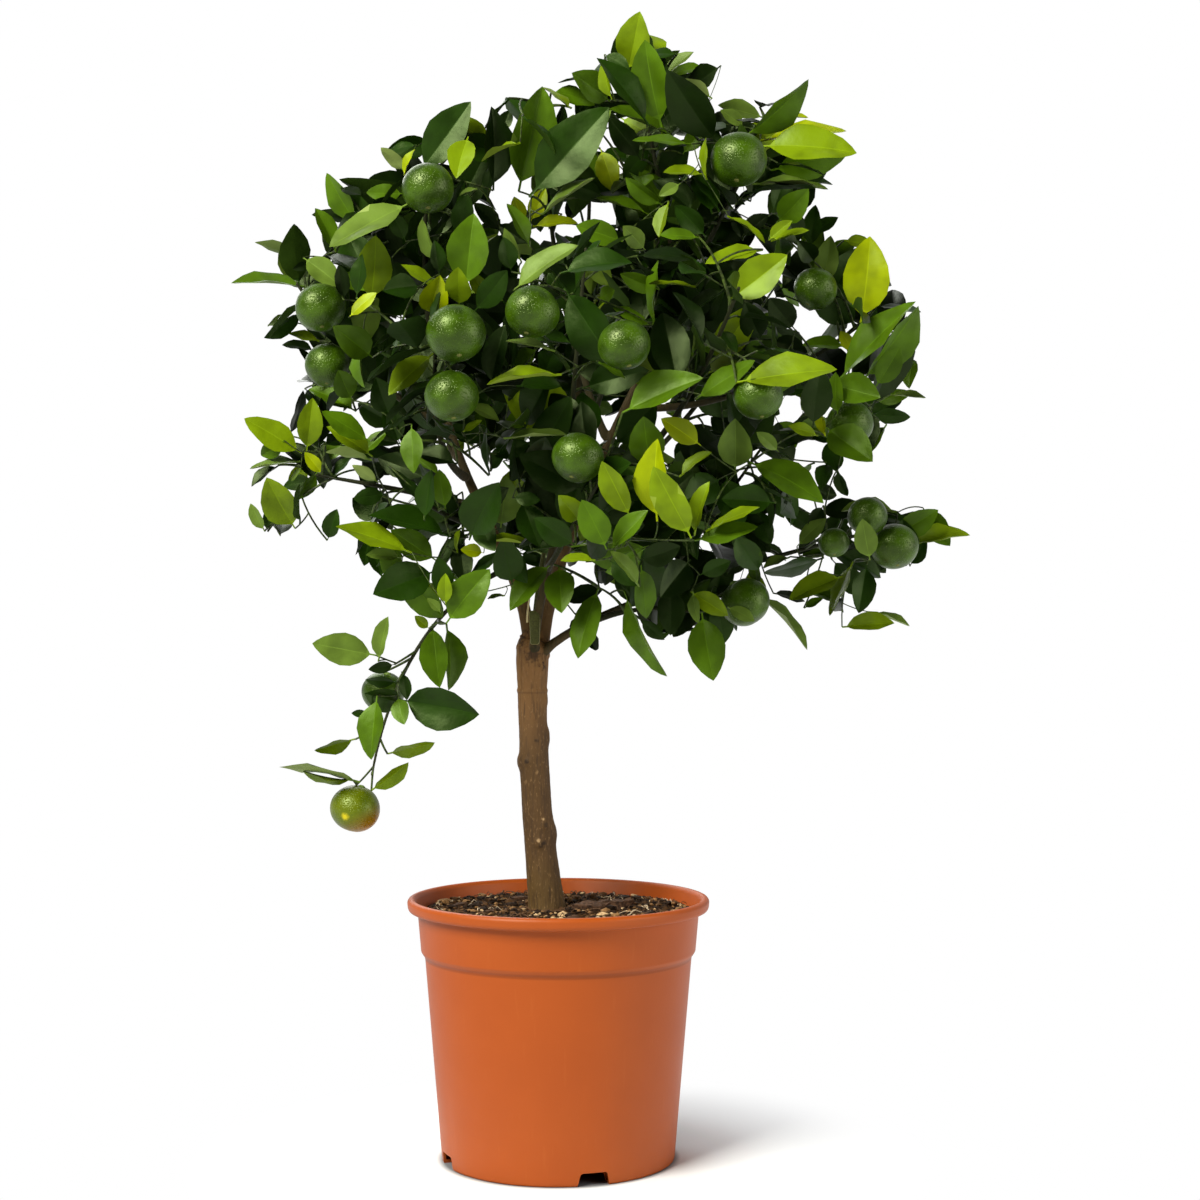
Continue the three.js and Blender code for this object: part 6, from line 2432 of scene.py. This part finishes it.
@dataclass
class Wood:
    """The trunk and all boughs in one skin, with the relief of the bark."""

    boughs: dict[str, Bough]
    voxel: float = 0.0008
    kept: float = 0.6
    trunk_samples: int = 60
    bough_samples: int = 40
    groove: float = 0.00042
    sides: int = 14
    # how much a bough swells at its foot and how far, and how far it narrows into its parent
    swelling: float = 0.45
    swell_reach: float = 0.012
    foot_reach: float = 0.014
    # radii at which the bark is old, at which it is young, and at which its grooves are full
    old: float = 0.0062
    young: float = 0.002
    grown: float = 0.009
    batch: int = 4000

    def build_trunk(self) -> bpy.types.Object:
        """Draws the trunk up from its foot, ring by ring."""
        shares = np.arange(TRUNK.steps + 1) / TRUNK.steps
        line = trunk_line()
        return drawn_out("trunk_core", [(line.point(s), trunk_radius(s)) for s in shares], TRUNK.sides)

    def build_boughs(self) -> bpy.types.Object:
        """Makes a tube of each bough with a swollen foot, and of its stem in the mass.

        Returns:
            The object.
        """
        shell = Shell()
        for bough in self.boughs.values():
            count = max(8, math.ceil(bough.curve.length() / 0.007))
            shares = np.linspace(0, 1, count)
            radii = np.array([bough.radius(share) for share in shares])
            distance = shares * bough.curve.length()
            swell = 1 + self.swelling * np.exp(-(distance / self.swell_reach) ** 2)
            swell *= np.clip(0.4 + distance / self.foot_reach, 0, 1)
            shell.add(*tube(bough.curve.points(shares), radii * swell, self.sides))
        return shell.build("boughs", [])

    def axis_samples(self) -> tuple[np.ndarray, np.ndarray]:
        """Points along all limbs, with the radius at each: first those of the trunk."""
        limbs = [(trunk_radius, trunk_line(), np.linspace(0, 1, self.trunk_samples))]
        limbs += [(bough.radius, bough.curve, np.linspace(0, 1, self.bough_samples))
                  for bough in self.boughs.values()]
        return along_wood(limbs)

    def knot_height(self, point: np.ndarray, axis: np.ndarray) -> float:
        """What knots and scars add to the trunk at a point of its skin, in metres.

        Args:
            point: The point.
            axis: The trunk's middle beside it.

        Returns:
            The height.
        """
        height = point[2] / MM
        angle = math.atan2(point[1] - axis[1], point[0] - axis[0])
        total = 0.0
        for at, degrees, swell, spread in TRUNK.knots:
            apart = (angle - math.radians(degrees) + math.pi) % (2 * math.pi) - math.pi
            along, around = (height - at) / spread, apart * 10.5 / spread
            square = along * along + around * around
            if square < 9:
                total += swell * (math.exp(-square) - 0.35 * math.exp(-square * 5))
        at, swell, spread = TRUNK.ring_scar
        return (total + swell * math.exp(-((height - at) / spread) ** 2)) * MM

    def carve(self, wood: bpy.types.Object) -> None:
        """Moves the skin in and out for grooves, knots and scars, and stores how young it is.

        Args:
            wood: The wood.
        """
        mesh = wood.data
        count = len(mesh.vertices)
        points = np.empty(count * 3)
        normals = np.empty(count * 3)
        mesh.vertices.foreach_get("co", points)
        mesh.vertices.foreach_get("normal", normals)
        points, normals = points.reshape(-1, 3), normals.reshape(-1, 3)
        places, radii = self.axis_samples()
        youth = np.zeros(count)
        heights = np.zeros(count)
        for start in range(0, count, self.batch):
            part = points[start:start + self.batch]
            apart = np.linalg.norm(part[:, None] - places[None], axis=-1) - radii
            nearest = apart.argmin(1)
            radius = radii[nearest]
            share = (self.old - radius) / (self.old - self.young)
            youth[start:start + self.batch] = np.clip(share, 0, 1) ** 0.8
            for i, (point, index) in enumerate(zip(part, nearest)):
                size = min(1.0, radii[index] / self.grown)
                groove = noise.noise(Vector((point[0] * 420, point[1] * 420, point[2] * 55)))
                ripple = noise.noise(Vector((point[0] * 900, point[1] * 900, point[2] * 260)))
                depth = self.groove * size * (groove + 0.4 * ripple)
                if index < self.trunk_samples:
                    depth += self.knot_height(point, places[index])
                heights[start + i] = depth
        mesh.vertices.foreach_set("co", (points + normals * heights[:, None]).ravel())
        mesh.attributes.new("youth", "FLOAT", "POINT").data.foreach_set("value", youth)
        mesh.update()

    def build(self) -> None:
        """Makes the wood and hands it in."""
        trunk, boughs = self.build_trunk(), self.build_boughs()
        select_only(trunk)
        boughs.select_set(True)
        bpy.ops.object.join()
        wood = bpy.context.object
        wood.name = wood.data.name = "trunk_and_boughs"
        apply_modifier(wood, "REMESH", mode="VOXEL", voxel_size=self.voxel)
        apply_modifier(wood, "SMOOTH", factor=0.5, iterations=3)
        self.carve(wood)
        apply_modifier(wood, "DECIMATE", ratio=self.kept)
        wood.data.materials.append(BarkFinish().build())
        select_only(wood)
        bpy.ops.object.shade_smooth()
        hand_in(wood, ["trunk", *(f"bough_{name}" for name in self.boughs)])


@dataclass
class Stub:
    """The short cut shoot in the fork, with a pale edge and a strip of peeled bark. Millimetres."""

    place: Triple = (-16, -13.5, 368.5)
    size: Triple = (7.6, 9, 23)
    taper: float = 0.78
    edge: float = 0.35
    rounding: float = 1.6
    strip: tuple[Triple, ...] = (
        (-21.1, -17, 372), (-21.6, -17, 380), (-19.4, -17, 387.5), (-18.7, -17, 399))
    strip_radius: float = 0.8
    shoot: tuple[Triple, ...] = ((-15.6, -12, 375), (-14.5, -14, 388), (-13, -13, 402), (-10, -9, 420))
    shoot_radius: float = 2.3

    def build(self) -> None:
        """Makes the stub: a pale slab with the olive one standing out of it, the strip and a shoot."""
        shell = Shell()
        for slot, (grow, forward) in enumerate(((self.edge, 0.25), (0, -0.35))):
            bpy.ops.object.select_all(action="DESELECT")
            bpy.ops.mesh.primitive_cube_add(size=1)
            slab = bpy.context.object
            bpy.ops.object.mode_set(mode="EDIT")
            bpy.ops.transform.resize(value=tuple((side + grow) * MM for side in self.size))
            bpy.ops.mesh.bevel(offset=self.rounding * MM, segments=3, affect="EDGES")
            bpy.ops.object.mode_set(mode="OBJECT")
            for vertex in slab.data.vertices:
                share = vertex.co.z / (self.size[2] * MM) + 0.5
                vertex.co.x *= mix(self.taper, 1, share)
            x, y, z = self.place
            slab.data.transform(Matrix.Translation((x * MM, (y + forward) * MM, z * MM)))
            shell.add(*taken_apart(slab), slot)
        shares = np.linspace(0, 1, 12)
        for places, radius, slot in ((self.strip, self.strip_radius, 2), (self.shoot, self.shoot_radius, 1)):
            line = limb_by(metres(places[0]), places[1:-1], metres(places[-1]))
            shell.add(*tube(line.points(shares), mix(1, 0.7, shares) * radius * MM, 8), slot)
        stub = shell.build("cut_shoot", [
            PlainFinish("shoot_edge", srgb(140, 134, 80), 0.7, 0.001, 0.15).build(),
            PlainFinish("shoot_green", srgb(66, 68, 28), 0.6, 0.001, 0.25).build(),
            PlainFinish("shoot_strip", srgb(186, 170, 124), 0.7, 0.001, 0.15).build()])
        smooth(stub, 50)
        hand_in(stub)


# ---------------------------------------------------------------- leaves, twigs and fruits


class Foliage:
    """Turns a grown crown into meshes of leaves and twigs."""

    # the boughs that leave the fork, each with the masses that it carries
    limbs = ("upper_left", "upper_right", "centre", "back_mid", "low_right")

    def __init__(self, crown: Crown):
        """Takes the crown and a source of chance for the leaves' bends."""
        self.crown = crown
        self.random = np.random.default_rng(11)

    @staticmethod
    def family(limb: str) -> list[str]:
        """The masses that a main bough carries, its own first.

        Args:
            limb: The main bough's name.

        Returns:
            The names of the masses.
        """
        names = [limb]
        for row in MASSES:
            if row.parent in names and row.name not in names:
                names.append(row.name)
        return names

    @staticmethod
    def blade_width(t: np.ndarray) -> np.ndarray:
        """Half the blade's width at shares of its length, from 0 to 1 at the widest."""
        inside = np.clip(t, 0, 1)
        return inside ** 0.68 * (1 - inside) ** 0.88 * 2.927

    def leaf_faces(self) -> tuple[list[tuple[int, ...]], list[int]]:
        """The faces of one leaf and the part that each belongs to: 0 top, 1 underside, 2 rib.

        Returns:
            The faces, and the part of each.
        """
        rows, columns = len(LEAF.stations) - 1, len(LEAF.across)
        ring = columns + 2
        tip = rows * ring
        faces: list[tuple[int, ...]] = []
        parts: list[int] = []
        over = list(range(columns))
        under = [0, columns, columns + 1, columns - 1]
        for row in range(rows):
            low, high = row * ring, (row + 1) * ring
            last = row == rows - 1
            stalk = row < 2
            for i, (a, b) in enumerate(zip(over, over[1:])):
                faces.append((low + a, low + b, tip) if last else (low + a, low + b, high + b, high + a))
                parts.append(2 if stalk or i == columns // 2 - 1 else 0)
            for a, b in zip(under, under[1:]):
                faces.append((low + b, low + a, tip) if last else (low + b, low + a, high + a, high + b))
                parts.append(2 if stalk else 1)
        faces.append(tuple(over[::-1] + under[1:-1]))
        parts.append(2)
        return faces, parts

    def leaf_points(self, leaf: Leaf) -> np.ndarray:
        """The points of one leaf, bent by chance.

        Args:
            leaf: The leaf.

        Returns:
            The points, one row each.
        """
        chance = self.random.random(7)
        t = np.array(LEAF.stations[:-1])[:, None]
        length = leaf.length
        side = np.cross(leaf.along, leaf.up)
        breadth = (leaf.breadth or mix(*LEAF.breadth, chance[0])) / 2
        width = np.maximum(LEAF.stalk_width, breadth * self.blade_width(t)) * length
        fold = mix(*LEAF.fold, chance[1])
        droop = mix(*LEAF.droop, chance[2]) * (LEAF.calm if leaf.breadth else 1)
        sway = (chance[3] - 0.5) * 2 * LEAF.sway
        u = np.array(LEAF.across)[None, :]
        blade = np.clip(t, 0, 1)
        ripple = LEAF.wave * np.sin(blade * 9 + chance[4] * 6.28) * u * np.sin(blade * math.pi)
        lift = (fold * np.abs(u) * width / length - 0.25 * u ** 2 * width / length
                - droop * blade ** 2 + 0.35 * droop * blade + ripple)
        drift = sway * blade ** 2
        flat = math.sqrt(1 - min(0.5, fold) ** 2 * 0.5)

        def lay(u_share: np.ndarray, rise: np.ndarray) -> np.ndarray:
            """Points at shares across the blade, raised by shares of its length."""
            across = u_share * width * flat + drift * length
            return (leaf.root + leaf.along * ((t + LEAF.petiole) * length / (1 + LEAF.petiole))[..., None]
                    + side * across[..., None] + leaf.up * (rise * length)[..., None])

        top = lay(u, lift)
        thick = np.where(t < 0.05, LEAF.stalk_thickness, LEAF.thickness) / length
        inner = slice(len(LEAF.across) // 2 - 1, len(LEAF.across) // 2 + 1)
        under = lay(u[:, inner], lift[:, inner] - thick)
        rows = np.concatenate([top, under], axis=1).reshape(-1, 3)
        end = (leaf.root + leaf.along * length + side * sway * length
               + leaf.up * (-0.65 * droop * length))
        return np.concatenate([rows, end[None]])

    def build_leaves(self) -> None:
        """Makes the leaves of each main bough as one piece."""
        faces, parts = self.leaf_faces()
        materials = leaf_materials()
        for limb in self.limbs:
            names = self.family(limb)
            shell = Shell()
            for leaf, owner in zip(self.crown.leaves, self.crown.owners):
                if owner in names:
                    slots = [leaf.tint.value * 3 + part for part in parts]
                    shell.add(self.leaf_points(leaf), faces, slots)
            leaves = shell.build(f"leaves_{limb}", materials)
            smooth(leaves, 55)
            hand_in(leaves, [f"foliage_{name}" for name in names])

    def build_twigs(self) -> None:
        """Makes all twigs as one piece."""
        shell = Shell()
        for twig in self.crown.twigs:
            if twig.foot:
                points = twig.curve.points(np.linspace(0, 1, 7))
                radii = np.linspace(twig.foot, twig.tip, 7)
                shell.add(*tube(points, radii, 6))
        twigs = shell.build("twigs", [TwigFinish().build()])
        smooth(twigs, 60)
        hand_in(twigs)


@dataclass
class Fruits:
    """The fruits, each with its calyx. Sizes as shares of a fruit's radius."""

    crown: Crown
    flattening: float = 0.93
    dent: float = 0.05
    calyx: float = 0.2
    navel: float = 0.1

    def model(self) -> bpy.types.Object:
        """Models one fruit of radius one with a dent round its stalk and its navel.

        Returns:
            The fruit.
        """
        bpy.ops.object.select_all(action="DESELECT")
        bpy.ops.mesh.primitive_uv_sphere_add(segments=40, ring_count=24, radius=1)
        fruit = bpy.context.object
        bpy.ops.object.mode_set(mode="EDIT")
        bpy.ops.mesh.select_all(action="SELECT")
        bpy.ops.transform.resize(value=(1, 1, self.flattening))
        bpy.ops.object.mode_set(mode="OBJECT")
        for vertex in fruit.data.vertices:
            ring = math.hypot(vertex.co.x, vertex.co.y)
            vertex.co.z *= 1 - self.dent * math.exp(-(ring / 0.22) ** 2)
        return fruit

    def model_calyx(self) -> Shell:
        """Models the green star and the stalk's end on top of a fruit, and the navel below.

        Returns:
            The shell of all three, for a fruit of radius one.
        """
        shell = Shell()
        count = 10
        angles = np.linspace(0, 2 * math.pi, count, endpoint=False)
        reach = self.calyx * np.where(np.arange(count) % 2, 0.55, 1)
        top = self.flattening * (1 - self.dent)
        outer = np.stack([np.cos(angles) * reach, np.sin(angles) * reach, np.full(count, top + 0.01)], 1)
        inner = np.stack([np.cos(angles) * 0.08, np.sin(angles) * 0.08, np.full(count, top + 0.09)], 1)
        below = outer - np.array([0, 0, 0.05])
        shell.add(np.concatenate([below, outer, inner]), ring_faces(3, count), 0)
        points, navel = tube(np.array([[0, 0, -top + 0.03], [0, 0, -top - 0.012], [0, 0, -top - 0.03]]),
                             np.array([self.navel, self.navel * 0.9, self.navel * 0.4]), 12)
        shell.add(points, navel, 1)
        return shell

    def build(self) -> None:
        """Makes all fruits and their calyces, and the lowest fruit as a piece of its own."""
        points, faces = taken_apart(self.model())
        caps = self.model_calyx()
        cap_points = np.concatenate(caps.points)
        shell, ripe, ends = Shell(), Shell(), Shell()
        for i, fruit in enumerate(self.crown.fruits):
            turn = np.array(Vector(fruit.stalk).to_track_quat("Z", "Y").to_matrix())
            lobes = 1 + 0.012 * np.sin(points @ np.array([3.1, 2.3, 1.7]) + i)[:, None]
            placed = (points * lobes * fruit.radius) @ turn.T + fruit.centre
            (ripe if i == 0 else shell).add(placed, faces)
            ends.add((cap_points * fruit.radius) @ turn.T + fruit.centre, caps.faces, caps.slots)
        green = shell.build("fruits", [PeelFinish("peel_green").build()])
        blushed = ripe.build("fruit_ripening", [
            PeelFinish("peel_ripening", srgb(62, 76, 0), srgb(86, 98, 1), srgb(160, 84, 4)).build()])
        caps_piece = ends.build("fruit_ends", [
            PlainFinish("calyx", srgb(104, 128, 60), 0.6, 0.001, 0.2).build(),
            PlainFinish("navel", srgb(104, 108, 52), 0.7, 0.0006, 0.3).build()])
        for piece in (green, blushed, caps_piece):
            smooth(piece, 60)
            hand_in(piece)


# ---------------------------------------------------------------- stage


@dataclass
class Stage:
    """The floor, the lights and the camera. Metres."""

    lens: float = 64.6
    heart: Triple = (0.03, 0, 0.45)
    floor_radius: float = 7.0
    fade: tuple[float, float] = (0.115, 0.26)
    # how bright the surroundings are for soft light, and for mirrored light before and behind
    soft: float = 0.045
    before: float = 0.06
    behind: float = 0.6

    def build_floor(self) -> None:
        """Makes a pale floor that fades into the white around it, with a painted shadow under and just round
        the pot's foot.
        """
        bpy.ops.object.select_all(action="DESELECT")
        bpy.ops.mesh.primitive_circle_add(vertices=128, radius=self.floor_radius, fill_type="NGON")
        floor = bpy.context.object
        floor.name = "floor"
        shader = Shader("floor_white")
        coordinates = shader.node("ShaderNodeTexCoord").outputs["Object"]
        length = shader.node("ShaderNodeVectorMath", {"operation": "LENGTH"}, {0: coordinates})
        away = Signal(shader, length.outputs["Value"])
        far = away.step(*self.fade)
        lift = shader.mix(away.step(0.08, 0.17), (0, 0, 0), (1, 1, 1))
        # painted shadow: the floor's colour is dark under the pot's foot and shades up to pale in a thin
        # ring just outside it
        base = shader.mix(away.step(0.079, 0.086), (0.2, 0.2, 0.21), (0.85, 0.9, 0.93))
        shader.finish(Base_Color=base, Roughness=0.9, Specular_IOR_Level=0.1,
                      Emission_Color=lift, Emission_Strength=0.24)
        glow = shader.node("ShaderNodeEmission", {}, {"Color": (1, 1, 1), "Strength": 1.0})
        blend = shader.node("ShaderNodeMixShader", {}, {
            0: far, 1: shader.surface.outputs[0], 2: glow.outputs[0]})
        shader.feed(shader.output.inputs["Surface"], blend.outputs[0])
        floor.data.materials.append(shader.material)

    def build_world(self) -> None:
        """Makes a white surrounding that lights the plant softly, and is dark before it."""
        world = bpy.data.worlds.new("studio")
        bpy.context.scene.world = world
        sky = Nodes(world)
        rays = sky.node("ShaderNodeLightPath").outputs
        way = sky.node("ShaderNodeSeparateXYZ", {}, {
            0: sky.node("ShaderNodeTexCoord").outputs["Generated"]}).outputs["Y"]
        mirrored = sky.node("ShaderNodeMapRange", {"interpolation_type": "SMOOTHSTEP"}, {
            "Value": way, "From Min": -0.1, "From Max": 0.7, "To Min": self.before, "To Max": self.behind})
        level = sky.node("ShaderNodeMapRange", {}, {
            "Value": rays["Is Glossy Ray"], "To Min": self.soft, "To Max": mirrored.outputs[0]})
        seen = sky.node("ShaderNodeMapRange", {}, {
            "Value": rays["Is Camera Ray"], "To Min": level.outputs[0], "To Max": 1.0})
        background = sky.tree.nodes["Background"].inputs
        sky.feed(background["Color"], (1, 1, 1))
        sky.feed(background["Strength"], seen.outputs[0])

    def add_light(self, name: str, place: Triple, size: float, power: float, colour: Colour) -> None:
        """Adds a square soft light that looks at the plant.

        Args:
            name: Its name.
            place: Where it stands.
            size: The length of its side.
            power: Its power in watts.
            colour: Its colour.
        """
        light = bpy.data.lights.new(name, "AREA")
        light.size = size
        light.energy = power
        light.color = colour
        lamp = bpy.data.objects.new(name, light)
        lamp.location = place
        lamp.rotation_euler = (Vector(self.heart) - Vector(place)).to_track_quat("-Z", "Y").to_euler()
        bpy.context.scene.collection.objects.link(lamp)

    def build(self) -> None:
        """Sets the stage."""
        self.build_floor()
        self.build_world()
        self.add_light("key", (-1.3, -1.4, 1.9), 1.2, 112, (1, 0.96, 0.87))
        self.add_light("fill", (2.0, -0.9, 0.8), 1.6, 27, (1, 0.97, 0.93))
        self.add_light("rim", (-0.6, 1.5, 1.4), 1.2, 14, (1, 1, 1))
        camera = bpy.data.objects.new("camera", bpy.data.cameras.new("camera"))
        camera.data.lens = self.lens
        camera.location = EYE
        camera.rotation_euler = (math.pi / 2, 0, 0)
        bpy.context.scene.collection.objects.link(camera)
        bpy.context.scene.camera = camera
        bpy.context.scene.view_settings.view_transform = "Standard"


def main() -> None:
    """Builds the stage and every piece of the plant."""
    logging.basicConfig(level=logging.INFO, format="%(name)s: %(message)s")
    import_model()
    Stage().build()
    boughs = lay_out_boughs()
    Wood(boughs).build()
    Stub().build()
    crown = grow_crown(boughs)
    log.info("%d leaves, %d twigs, %d fruits", len(crown.leaves), len(crown.twigs), len(crown.fruits))
    foliage = Foliage(crown)
    foliage.build_leaves()
    foliage.build_twigs()
    Fruits(crown).build()
    Pot().build()
    Soil().build()


if __name__ == "__main__":
    main()
